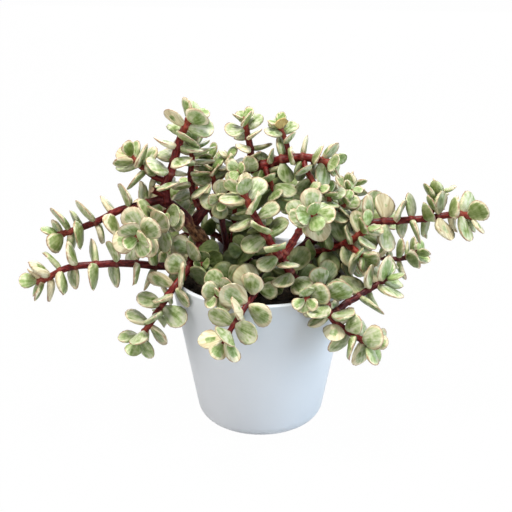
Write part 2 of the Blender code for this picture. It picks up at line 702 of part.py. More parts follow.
def make_plant(pot, bark, green):
    """Grows limbs, then all stems, then the leaves, so that no leaf meets a stem."""
    grown = {}
    trees = {}
    obstacles = [Obstacle("pot", shape_of(pot))]
    planted = []
    for shoot in [*LIMBS, *SHOOTS]:
        sides = LIMB_SIDES if shoot in LIMBS else STEM_SIDES
        stem = Stem(shoot.route, shoot.radii)
        start = 0.0
        if shoot.parent == "soil":
            planted.append(shoot)
        else:
            start = clear_start(stem, sides, trees[shoot.parent])
        points, faces = stem.tube(sides, start)
        grown[shoot.name] = (stem, start, points, faces)
        trees[shoot.name] = tree_of(points, faces)
        obstacles.append(Obstacle(shoot.name + " stem", (points, faces)))
    for seed, shoot in enumerate(SHOOTS):
        stem, start, _, _ = grown[shoot.name]
        others = [thing for thing in obstacles if thing.owner != shoot.name + " stem"]
        before = len(others)
        leaves = leaves_of(shoot, stem, start, seed, others)
        obstacles.extend(others[before:])
        grown[shoot.name] = (*grown[shoot.name], leaves)
    for limb in LIMBS:
        _, _, points, faces = grown[limb.name]
        add_object(limb.name, mesh_from(limb.name, points, faces), bark)
    count = 0
    for shoot in SHOOTS:
        _, _, points, faces, leaves = grown[shoot.name]
        meshes = [mesh_from("leaf", *leaf_shape(matrix, length)) for matrix, length in leaves]
        united(shoot.name, mesh_from(shoot.name, points, faces), meshes, green)
        count += len(leaves)
    print(f"{len(SHOOTS)} leafy shoots with {count} leaves")
    return planted


for old in list(bpy.data.objects):
    bpy.data.objects.remove(old)

bark_brown = material("bark", BARK_BROWN, 0.8)
shoot_green = material("shoot_green", SHOOT_GREEN, 0.45)
white_pot = make_pot(material("pot_white", POT_WHITE, 0.35))
planted_stems = make_plant(white_pot, bark_brown, shoot_green)
make_soil(material("soil", SOIL_BROWN, 0.95), planted_stems)
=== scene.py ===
# %% [markdown]
# # A potted elephant bush
# The elephant bush is a small succulent shrub. Its fleshy leaves sit in pairs on thin red stems,
# and in this form each leaf has an irregular cream edge. It grows in dark soil in a white pot.
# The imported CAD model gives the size, the place of every stem and the place of every leaf. This
# lesson puts the looks round that frame: a smooth pot, crumbly soil, bark, stems with rings where
# leaves grow, and leaves with their own pattern.

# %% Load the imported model
import json
import math
import random

import bmesh
import bpy
from mathutils import Matrix, Quaternion, Vector
from mathutils.bvhtree import BVHTree

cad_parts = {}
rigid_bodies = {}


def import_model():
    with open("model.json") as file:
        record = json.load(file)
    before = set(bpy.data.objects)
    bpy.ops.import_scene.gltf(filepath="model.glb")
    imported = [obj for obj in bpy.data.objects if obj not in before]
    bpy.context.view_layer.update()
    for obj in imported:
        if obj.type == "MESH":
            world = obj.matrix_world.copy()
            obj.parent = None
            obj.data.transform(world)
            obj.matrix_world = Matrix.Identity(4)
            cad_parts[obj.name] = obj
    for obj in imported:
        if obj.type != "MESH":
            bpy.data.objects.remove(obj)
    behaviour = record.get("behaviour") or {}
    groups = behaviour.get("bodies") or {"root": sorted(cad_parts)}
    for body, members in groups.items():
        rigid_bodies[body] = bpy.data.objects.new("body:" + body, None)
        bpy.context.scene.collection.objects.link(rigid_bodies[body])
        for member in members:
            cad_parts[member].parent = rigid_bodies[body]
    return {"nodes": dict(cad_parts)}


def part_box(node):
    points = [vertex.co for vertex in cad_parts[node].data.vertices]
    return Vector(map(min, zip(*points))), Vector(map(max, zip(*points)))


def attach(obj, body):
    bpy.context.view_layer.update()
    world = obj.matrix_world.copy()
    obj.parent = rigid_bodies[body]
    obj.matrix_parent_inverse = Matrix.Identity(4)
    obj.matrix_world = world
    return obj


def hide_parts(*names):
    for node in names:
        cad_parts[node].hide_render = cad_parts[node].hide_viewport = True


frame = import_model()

MM = 0.001
scene = bpy.context.scene
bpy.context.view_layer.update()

# %% [markdown]
# ## Camera
# The camera looks at the plant from the front, a little from above, from less than a metre away.
# A fairly long lens keeps the pot's sides nearly straight. There is no shift and no depth of
# field, so that other views can be taken with the same camera.

# %% Camera
CAMERA_AIM = Vector((-3.3 * MM, 0, 124.7 * MM))
CAMERA_AWAY = 0.9
CAMERA_RISE = math.radians(22)
CAMERA_LENS = 88.3
SENSOR_WIDTH = 36

camera_back = Vector((0, -math.cos(CAMERA_RISE), math.sin(CAMERA_RISE)))
bpy.ops.object.camera_add(
    location=CAMERA_AIM + CAMERA_AWAY * camera_back,
    rotation=(math.pi / 2 - CAMERA_RISE, 0, 0))
camera = bpy.context.object
camera.data.sensor_width = SENSOR_WIDTH
camera.data.lens = CAMERA_LENS
scene.camera = camera
scene.view_settings.view_transform = "Standard"
print("camera at", [round(x, 3) for x in camera.location])

# %% [markdown]
# ## Small helpers for materials
# A material is a little graph of nodes. Most of these helpers add one node, feed its inputs and
# give back its output, so that a graph can be written as a few short sums. An input takes either
# a plain number or colour, or the output of another node.

# %% Helpers for finishes and sums
def feed(tree, socket, value):
    """Links a socket to another one, or sets its value."""
    if isinstance(value, bpy.types.NodeSocket):
        tree.links.new(value, socket)
    else:
        socket.default_value = value


def new_finish(name, roughness, specular=0.5):
    """A material with a Principled shader, its node tree and the shader."""
    made = bpy.data.materials.new(name)
    made.use_nodes = True
    shader = made.node_tree.nodes["Principled BSDF"]
    shader.inputs["Roughness"].default_value = roughness
    shader.inputs["Specular IOR Level"].default_value = specular
    return made, made.node_tree, shader


def calc(tree, operation, *values):
    """The result of a Math node."""
    made = tree.nodes.new("ShaderNodeMath")
    made.operation = operation
    for socket, value in zip(made.inputs, values):
        feed(tree, socket, value)
    return made.outputs[0]


def vector_of(tree, *values):
    """Three numbers made one set of coordinates."""
    made = tree.nodes.new("ShaderNodeCombineXYZ")
    for socket, value in zip(made.inputs, values):
        feed(tree, socket, value)
    return made.outputs["Vector"]


def soft_step(tree, value, low, high):
    """0 below low, 1 above high and smooth between."""
    made = tree.nodes.new("ShaderNodeMapRange")
    made.interpolation_type = "SMOOTHSTEP"
    feed(tree, made.inputs["Value"], value)
    feed(tree, made.inputs["From Min"], low)
    feed(tree, made.inputs["From Max"], high)
    return made.outputs["Result"]


print("helpers for finishes and sums ready")

# %% Helpers for patterns and colours
def object_place(tree):
    """The place on a piece, which stays with the piece."""
    return tree.nodes.new("ShaderNodeTexCoord").outputs["Object"]


def attribute(tree, name, output="Fac"):
    """The value of one of a piece's own attributes."""
    made = tree.nodes.new("ShaderNodeAttribute")
    made.attribute_name = name
    return made.outputs[output]


def stretched(tree, where, x, y, z):
    """Coordinates scaled by a different amount along each axis."""
    made = tree.nodes.new("ShaderNodeMapping")
    feed(tree, made.inputs["Vector"], where)
    made.inputs["Scale"].default_value = (x, y, z)
    return made.outputs["Vector"]


def noise(tree, where, scale, detail=3.0, roughness=0.55):
    """The value of a Noise Texture, from about 0.3 to 0.7."""
    made = tree.nodes.new("ShaderNodeTexNoise")
    feed(tree, made.inputs["Vector"], where)
    made.inputs["Scale"].default_value = scale
    made.inputs["Detail"].default_value = detail
    made.inputs["Roughness"].default_value = roughness
    return made.outputs["Fac"]


def ramp(tree, value, stops):
    """A colour read from stops of (position, red, green, blue)."""
    made = tree.nodes.new("ShaderNodeValToRGB")
    feed(tree, made.inputs["Fac"], value)
    elements = made.color_ramp.elements
    while len(elements) < len(stops):
        elements.new(1.0)
    for element, (position, *colour) in zip(elements, stops):
        element.position = position
        element.color = (*colour, 1)
    return made.outputs["Color"]


def mixed(tree, share, first, second):
    """Two colours mixed by a share from 0 to 1."""
    made = tree.nodes.new("ShaderNodeMix")
    made.data_type = "RGBA"
    # The node has sockets for every data type. Inputs 6 and 7 and output 2 are the colours'.
    feed(tree, made.inputs["Factor"], share)
    feed(tree, made.inputs[6], first)
    feed(tree, made.inputs[7], second)
    return made.outputs[2]


def paint(tree, shader, colour, roughness=None):
    """Links a colour, and a roughness where it varies, to the shader."""
    tree.links.new(colour, shader.inputs["Base Color"])
    if roughness is not None:
        tree.links.new(roughness, shader.inputs["Roughness"])


def bump(tree, shader, height, strength, distance):
    """Raises and lowers the surface's shading by a height from 0 to 1."""
    made = tree.nodes.new("ShaderNodeBump")
    made.inputs["Strength"].default_value = strength
    made.inputs["Distance"].default_value = distance
    feed(tree, made.inputs["Height"], height)
    tree.links.new(made.outputs["Normal"], shader.inputs["Normal"])


print("helpers for patterns and colours ready")

# %% [markdown]
# ## Floor, backdrop light and lamps
# The plant stands in plain soft studio light. Both the floor and the world show as white to the
# camera, through the Light Path node, while the floor still takes a faint shadow of the pot. Two
# large lamps stand at the left and right, the right one a little cooler, and a small one hangs
# overhead. A weak one in front keeps the shadows soft, and one behind lights the back.

# %% Floor and world
FLOOR_SIZE = 8
FLOOR_GREY = (0.5, 0.5, 0.5, 1)
FLOOR_WHITENESS = 0.99
WORLD_COLOUR = (1.0, 0.99, 0.96, 1)
WORLD_STRENGTH = 0.10


def seen_directly(tree):
    """1 for rays that go straight to the camera, or to it by a mirror or through glass."""
    path = tree.nodes.new("ShaderNodeLightPath").outputs
    either = calc(tree, "MAXIMUM", path["Is Camera Ray"], path["Is Glossy Ray"])
    return calc(tree, "MAXIMUM", either, path["Is Transmission Ray"])


def mix_shaders(tree, share, first, second, output):
    """Mixes two shaders by a share and links them to an output node."""
    made = tree.nodes.new("ShaderNodeMixShader")
    feed(tree, made.inputs[0], share)
    tree.links.new(first.outputs[0], made.inputs[1])
    tree.links.new(second.outputs[0], made.inputs[2])
    tree.links.new(made.outputs[0], tree.nodes[output].inputs["Surface"])


bpy.ops.object.select_all(action="DESELECT")
bpy.ops.mesh.primitive_plane_add(size=FLOOR_SIZE)
floor = bpy.context.object
floor.name = "floor"
floor_paint, tree, shader = new_finish("pale_floor", roughness=0.9, specular=0.1)
shader.inputs["Base Color"].default_value = FLOOR_GREY
glow = tree.nodes.new("ShaderNodeEmission")
whiteness = calc(tree, "MULTIPLY", seen_directly(tree), FLOOR_WHITENESS)
mix_shaders(tree, whiteness, shader, glow, "Material Output")
floor.data.materials.append(floor_paint)

world = bpy.data.worlds.new("studio")
scene.world = world
world.use_nodes = True
tree = world.node_tree
light = tree.nodes["Background"]
light.inputs["Color"].default_value = WORLD_COLOUR
light.inputs["Strength"].default_value = WORLD_STRENGTH
white = tree.nodes.new("ShaderNodeBackground")
white.inputs["Color"].default_value = (1, 1, 1, 1)
mix_shaders(tree, seen_directly(tree), light, white, "World Output")
print("floor", [round(x, 2) for x in floor.dimensions])

# %% Lamps
# Name, place, size, power in watts and colour.
LAMPS = [
    ("left_lamp", (-1.1, -0.7, 0.6), 1.2, 11.0, (1.0, 0.975, 0.93)),
    ("right_lamp", (1.3, -0.45, 0.35), 1.4, 28.0, (0.71, 0.87, 1.0)),
    ("top_lamp", (-0.05, -0.2, 1.3), 0.4, 20.5, (1.0, 1.0, 0.97)),
    ("front_lamp", (0.35, -1.5, 0.3), 1.2, 4.5, (0.86, 0.94, 1.0)),
    ("back_lamp", (0.1, 1.4, 0.55), 1.2, 14.0, (0.97, 0.98, 1.0)),
]
for name, place, size, power, colour in LAMPS:
    bpy.ops.object.light_add(type="AREA", location=place)
    lamp = bpy.context.object
    lamp.name = name
    lamp.rotation_euler = (CAMERA_AIM - Vector(place)).to_track_quat("-Z", "Y").to_euler()
    lamp.data.size = size
    lamp.data.energy = power
    lamp.data.color = colour
print(len(LAMPS), "lamps")

# %% [markdown]
# ## Small helpers for modelling
# Pieces are modelled as by hand, with operators. An operator acts on everything selected, so each
# step first deselects, then picks corners by their place. `close_piece` merges doubled corners,
# turns the faces outwards and leaves edit mode.

# %% Helpers for shaping
DOUBLED = 0.01 * MM


def deselect():
    """Deselects everything, so that an operator acts on nothing by chance."""
    bpy.ops.object.select_all(action="DESELECT")


def select_only(first, *others):
    """Selects these pieces and nothing else, and makes the first one active."""
    deselect()
    for piece in (first, *others):
        piece.select_set(True)
    bpy.context.view_layer.objects.active = first


def start_editing(piece):
    """Enters edit mode on one piece, with corners to pick."""
    select_only(piece)
    bpy.ops.object.mode_set(mode="EDIT")
    bpy.context.tool_settings.mesh_select_mode = (True, False, False)


def pick(piece, test):
    """In edit mode, selects the corners whose place passes a test."""
    mesh = bmesh.from_edit_mesh(piece.data)
    for corner in mesh.verts:
        corner.select = bool(test(corner.co))
    mesh.select_flush_mode()
    mesh.select_flush(True)
    bmesh.update_edit_mesh(piece.data)


def close_piece():
    """Merges doubled corners, turns faces outwards and leaves edit mode."""
    bpy.ops.mesh.select_all(action="SELECT")
    bpy.ops.mesh.remove_doubles(threshold=DOUBLED)
    bpy.ops.mesh.normals_make_consistent(inside=False)
    bpy.ops.object.mode_set(mode="OBJECT")


def climb(stations, radius, height):
    """Extrudes the picked face through rings of (radius, height) about the Z axis."""
    for next_radius, next_height in stations:
        bpy.ops.mesh.extrude_region_move(
            TRANSFORM_OT_translate={"value": (0, 0, next_height - height)})
        share = next_radius / radius
        bpy.ops.transform.resize(value=(share, share, 1), center_override=(0, 0, next_height))
        radius = next_radius
        height = next_height


print("helpers for shaping ready")

# %% Helpers for finishing a piece
def use_finish(piece, finish):
    """The finish becomes the piece's only one."""
    piece.data.materials.clear()
    piece.data.materials.append(finish)


def place_on_root(piece, slot, *nodes):
    """The piece moves with the one body and stands for CAD nodes. The slot is not used."""
    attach(piece, "root")
    if nodes:
        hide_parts(*nodes)


def apply_all(piece):
    """Applies every modifier of a piece, in order."""
    select_only(piece)
    for modifier in list(piece.modifiers):
        bpy.ops.object.modifier_apply(modifier=modifier.name)


def smooth_all_but(piece, degrees):
    """Shades a piece smooth, but not over edges sharper than an angle."""
    select_only(piece)
    bpy.ops.object.shade_smooth_by_angle(angle=math.radians(degrees))


def add_lumps(piece, name, size, height, level):
    """A Displace modifier that raises lumps of a size with a cloud texture."""
    clouds = bpy.data.textures.new(name, "CLOUDS")
    clouds.noise_scale = size
    raised = piece.modifiers.new(name, "DISPLACE")
    raised.texture = clouds
    raised.texture_coords = "LOCAL"
    raised.strength = height
    raised.mid_level = level
    return raised


print("helpers for finishing ready")

# %% [markdown]
# ## The pot
# A moulded pot has a flat underside, a rounded foot, straight leaning sides and a thin plain rim.
# It could be an open cup with a Solidify modifier, but its floor is thicker than its wall, and
# its rim is rounded. So it starts as a disc the size of its underside, and the disc's face is
# extruded up the outside, over the rim and down the inside. That gives each part its true
# thickness in one closed body. Small drainage holes are then cut with a Boolean, because they
# cross the floor and nothing else.

# %% Model the pot
RIM_RADIUS = 65.5 * MM
POT_HEIGHT = 114.5 * MM
FOOT_RADIUS = 44.5 * MM
WALL = 3.6 * MM
POT_FLOOR = 5 * MM
FOOT_ROUNDING = 12 * MM
RIM_ROUNDING = 1.2 * MM
INNER_SHARE = 0.7
POT_SIDES = 128
FOOT_STEPS = 10
RIM_STEPS = 5
INNER_STEPS = 8


def arc(radius, height, rounding, start, end, steps):
    """Stations on an arc about a centre, with angles in degrees."""
    turns = [math.radians(start + (end - start) * i / steps) for i in range(steps + 1)]
    return [
        (radius + rounding * math.cos(t), height + rounding * math.sin(t)) for t in turns]


lean = math.atan2(RIM_RADIUS - FOOT_RADIUS, POT_HEIGHT)
lean_degrees = math.degrees(lean)
tuck_in = (1 - math.sin(lean)) / math.cos(lean)
tuck_out = (1 + math.sin(lean)) / math.cos(lean)
inner_rounding = INNER_SHARE * FOOT_ROUNDING
inner_foot = FOOT_RADIUS + math.tan(lean) * POT_FLOOR - WALL - inner_rounding * tuck_in
outside = arc(
    FOOT_RADIUS - FOOT_ROUNDING * tuck_in, FOOT_ROUNDING, FOOT_ROUNDING,
    -90, -lean_degrees, FOOT_STEPS)
rim = arc(
    RIM_RADIUS - RIM_ROUNDING * tuck_out, POT_HEIGHT - RIM_ROUNDING, RIM_ROUNDING,
    -lean_degrees, 90, RIM_STEPS)
rim += arc(
    RIM_RADIUS - WALL + RIM_ROUNDING * tuck_in, POT_HEIGHT - RIM_ROUNDING, RIM_ROUNDING,
    90, 180 - lean_degrees, RIM_STEPS)
inside = arc(
    inner_foot, POT_FLOOR + inner_rounding, inner_rounding, -lean_degrees, -90, INNER_STEPS)

deselect()
bpy.ops.mesh.primitive_circle_add(vertices=POT_SIDES, radius=outside[0][0], fill_type="NGON")
pot = bpy.context.object
pot.name = "white_pot"
start_editing(pot)
bpy.ops.mesh.select_all(action="SELECT")
climb([*outside[1:], *rim, *inside], *outside[0])
close_piece()
print("pot", [round(x / MM, 1) for x in pot.dimensions], "mm,", len(pot.data.polygons), "faces")

# %% Cut the drainage holes
HOLES = 5
HOLE_RADIUS = 2.7 * MM
HOLE_RING = 24 * MM
HOLE_SIDES = 24
SHARP_ANGLE = 40

deselect()
bpy.ops.mesh.primitive_cylinder_add(
    vertices=HOLE_SIDES, radius=HOLE_RADIUS, depth=POT_FLOOR * 2,
    location=(HOLE_RING, 0, POT_FLOOR / 2))
drill = bpy.context.object
bpy.ops.object.transform_apply(location=True)
start_editing(drill)
bpy.ops.mesh.select_all(action="SELECT")
for copy in range(1, HOLES):
    bpy.ops.mesh.duplicate()
    bpy.ops.transform.rotate(
        value=2 * math.pi / HOLES, orient_axis="Z", center_override=(0, 0, POT_FLOOR / 2))
bpy.ops.object.mode_set(mode="OBJECT")
holes = pot.modifiers.new("drainage", "BOOLEAN")
holes.operation = "DIFFERENCE"
holes.solver = "EXACT"
holes.object = drill
apply_all(pot)
bpy.data.objects.remove(drill)
smooth_all_but(pot, SHARP_ANGLE)
print("pot with holes:", len(pot.data.polygons), "faces")

# %% [markdown]
# ## The pot's finish
# The pot is moulded plastic with a satin skin: white with a touch of blue grey. One flat colour
# would nearly do, but it would look drawn and not moulded. So a very wide noise shifts the tone
# by a few parts in a hundred, the roughness varies a little, and a fine bump gives the skin its
# soft sheen.

# %% Paint the pot
pot_white, tree, shader = new_finish("satin_white_plastic", roughness=0.42, specular=0.45)
where = object_place(tree)
clouds = noise(tree, where, scale=14.0, detail=4.0)
colour = ramp(tree, clouds, [(0.3, 0.59, 0.61, 0.655), (0.7, 0.63, 0.645, 0.685)])
patches = noise(tree, where, scale=60.0, detail=5.0)
sheen = calc(tree, "MULTIPLY_ADD", patches, 0.22, 0.31)
paint(tree, shader, colour, sheen)
skin = noise(tree, where, scale=1400.0, detail=2.0)
bump(tree, shader, skin, strength=0.06, distance=0.4 * MM)
use_finish(pot, pot_white)
place_on_root(pot, "pot", "pot")
print("pot painted")

# %% [markdown]
# ## The soil
# Potting soil is peat and bark in crumbs. Its top sits about a centimetre below the rim. The pot
# could be filled with thousands of crumbs, but only the top ones are ever seen. So the piece
# starts as a disc, is inset into rings and subdivided, and is extruded down to a closed body. Two
# Displace modifiers with cloud textures then raise lumps on its top alone. Loose crumbs, all
# copied from one uneven ball, lie on it.

# %% Model the soil
soil_low, soil_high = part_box("potting_soil")
SOIL_GAP = 0.3 * MM
SOIL_TOP = 106 * MM
SOIL_EDGE = soil_high.x - SOIL_GAP
SOIL_SIDES = 64
SOIL_RINGS = 13
MIDDLE_RING = 0.7

deselect()
bpy.ops.mesh.primitive_circle_add(
    vertices=SOIL_SIDES, radius=SOIL_EDGE, fill_type="NGON", location=(0, 0, SOIL_TOP))
soil = bpy.context.object
soil.name = "crumbly_soil"
bpy.ops.object.transform_apply(location=True)
start_editing(soil)
bpy.ops.mesh.select_all(action="SELECT")
bpy.context.tool_settings.mesh_select_mode = (False, False, True)
for ring in range(SOIL_RINGS):
    bpy.ops.mesh.inset(thickness=SOIL_EDGE / (SOIL_RINGS + MIDDLE_RING))
bpy.ops.mesh.poke()
bpy.ops.mesh.select_all(action="SELECT")
bpy.ops.mesh.subdivide(number_cuts=1)
bpy.ops.mesh.select_all(action="SELECT")
bpy.ops.mesh.extrude_region_move(
    TRANSFORM_OT_translate={"value": (0, 0, soil_low.z + SOIL_GAP - SOIL_TOP)})
foot_share = inner_foot / SOIL_EDGE
bpy.ops.transform.resize(value=(foot_share, foot_share, 1), center_override=(0, 0, soil_low.z))
close_piece()
top = soil.vertex_groups.new(name="top")
top.add([v.index for v in soil.data.vertices
         if v.co.z > SOIL_TOP - MM and v.co.xy.length < SOIL_EDGE - MM], 1.0, "REPLACE")
print("soil", [round(x / MM, 1) for x in soil.dimensions], "mm")

# %% Raise the soil's lumps
SOIL_LEVEL = 0.45
CRUMB_ANGLE = 60

for name, size, height in (("lumps", 7 * MM, 3.2 * MM), ("crumbs", 2.2 * MM, 1.8 * MM)):
    raised = add_lumps(soil, name, size, height, SOIL_LEVEL)
    raised.direction = "Z"
    raised.vertex_group = "top"
apply_all(soil)
soil.vertex_groups.clear()
smooth_all_but(soil, CRUMB_ANGLE)

# %% Shape one crumb
CRUMB_BUMPS = 0.22
CRUMB_SHAPE = (1, 0.8, 0.62)

deselect()
bpy.ops.mesh.primitive_ico_sphere_add(subdivisions=2, radius=1)
crumb = bpy.context.object
start_editing(crumb)
bpy.ops.mesh.select_all(action="SELECT")
bpy.ops.transform.vertex_random(offset=CRUMB_BUMPS, seed=4)
bpy.ops.transform.resize(value=CRUMB_SHAPE)
bpy.ops.object.mode_set(mode="OBJECT")
print("a crumb has", len(crumb.data.polygons), "faces")

# %% Scatter loose crumbs on the soil
CRUMBS = 210
LARGEST_CRUMB = 2.3 * MM
SMALLEST_CRUMB = 0.25
CRUMB_SIZE_POWER = 1.5
CRUMB_REACH = 0.96
CRUMB_TURN = 6.28
CRUMB_TILT = 0.8
CRUMB_LIFT = 0.2
CRUMB_SEED = 11

draw = random.Random(CRUMB_SEED)
soil_skin = BVHTree.FromObject(soil, bpy.context.evaluated_depsgraph_get())
crumbs = []
while len(crumbs) < CRUMBS:
    reach = SOIL_EDGE * math.sqrt(draw.random()) * CRUMB_REACH
    turn = draw.uniform(0, 2 * math.pi)
    above = Vector((reach * math.cos(turn), reach * math.sin(turn), POT_HEIGHT))
    hit = soil_skin.ray_cast(above, Vector((0, 0, -1)))[0]
    size = LARGEST_CRUMB * draw.uniform(SMALLEST_CRUMB, 1) ** CRUMB_SIZE_POWER
    spin = Matrix.Rotation(draw.uniform(0, CRUMB_TURN), 4, "Z") @ Matrix.Rotation(
        draw.uniform(-CRUMB_TILT, CRUMB_TILT), 4, "X")
    copy = bpy.data.objects.new("crumb_copy", crumb.data.copy())
    lifted = Matrix.Translation(hit + Vector((0, 0, CRUMB_LIFT * size)))
    copy.data.transform(lifted @ spin @ Matrix.Scale(size, 4))
    scene.collection.objects.link(copy)
    crumbs.append(copy)
bpy.data.objects.remove(crumb)
select_only(*crumbs)
bpy.ops.object.join()
soil_crumbs = bpy.context.object
soil_crumbs.name = "loose_soil_crumbs"
print(CRUMBS, "crumbs,", len(soil_crumbs.data.polygons), "faces")

# %% [markdown]
# ## The soil's finish
# Damp peat is nearly black, and the bits of bark in it are paler. A picture could be wrapped
# round it, but a fine noise with many details already gives grains of every tone. A strong bump
# makes the grains stand out between the crumbs that are modelled.

# %% Paint the soil
dark_soil, tree, shader = new_finish("damp_potting_soil", roughness=0.93, specular=0.2)
where = object_place(tree)
grains = noise(tree, where, scale=260.0, detail=6.0, roughness=0.7)
colour = ramp(tree, grains, [
    (0.30, 0.010, 0.007, 0.005), (0.50, 0.030, 0.020, 0.013), (0.64, 0.075, 0.048, 0.030),
    (0.75, 0.14, 0.10, 0.065)])
paint(tree, shader, colour)
fine_grains = noise(tree, where, scale=700.0, detail=5.0, roughness=0.7)
bump(tree, shader, fine_grains, strength=0.8, distance=1.2 * MM)
for piece in (soil, soil_crumbs):
    use_finish(piece, dark_soil)
place_on_root(soil, "soil", "potting_soil")
place_on_root(soil_crumbs, "soil")
print("soil painted")

# %% [markdown]
# ## Routes of the limbs and shoots
# A plant doesn't repeat itself, so no modifier can lay out its stems. Every limb and shoot
# follows a route of its own: points in millimetres from the middle of the pot's base. The routes
# could be drawn as curves, but a list of points can be read and corrected. These are the same
# routes as in the CAD model, so that each piece here lies where its CAD node does. `thick` is the
# thickness at the root and at the tip, `leafy` is how much of the shoot bears leaves, `leaf` is
# the length of a grown leaf, `turn` is the turn of the first pair of leaves about the stem, and
# `light` is how far the leaves turn to the light, from 0 to 1.

# %% Describe a shoot
class Shoot:
    """A stem along a route, with pairs of leaves on its outer part.

    leafy is the length that carries leaves, leaf the longest leaf, turn where the first pair
    stands round the stem, light how far leaves face the light, and space the widest gap
    between pairs. Space grows from the tip by SPACE_GROWTH of that gap at each pair.
    """

    def __init__(self, name, parent, thick, route, leafy=0, leaf=17, turn=0, light=0.35,
                 space=7.4):
        self.name = name
        self.parent = parent
        self.radii = (thick[0] / 2 * MM, thick[1] / 2 * MM)
        self.route = [Vector(point) * MM for point in route]
        self.leafy = leafy * MM
        self.leaf = leaf * MM
        self.turn = math.radians(turn)
        self.light = light
        self.space = space * MM


print("shoots are described in millimetres and degrees")

# %% Woody limbs
LIMBS = [
    Shoot("left_limb", "soil", (15, 7), [
        (-20, 11, 92), (-26, 9, 106), (-37, 3, 127), (-47, -3, 146), (-58, -7, 162),
        (-70, -8, 171)]),
    Shoot("middle_limb", "left_limb", (8, 6.5), [
        (-48, -3, 150), (-40, -4, 161), (-30, -2, 170), (-22, 0, 178), (-14, 2, 186),
        (-6, 4, 191)]),
    Shoot("dark_limb", "left_limb", (5, 4), [
        (-28, 8, 110), (-25, 14, 124), (-27, 16, 140), (-30, 18, 158), (-32, 19, 170)]),
    Shoot("right_limb", "soil", (9, 6), [
        (12, 14, 92), (15, 13, 108), (28, 8, 126), (44, 2, 140), (60, -3, 148)]),
    Shoot("back_left_limb", "soil", (9, 6), [
        (-16, 34, 92), (-18, 38, 108), (-30, 52, 128), (-40, 66, 142)]),
    Shoot("back_limb", "soil", (9, 6), [
        (6, 36, 92), (7, 41, 110), (6, 56, 132), (2, 70, 146)]),
    Shoot("back_right_limb", "soil", (8, 5.5), [
        (27, 28, 92), (31, 32, 108), (44, 44, 128), (56, 54, 140)]),
]
print(len(LIMBS), "limbs")

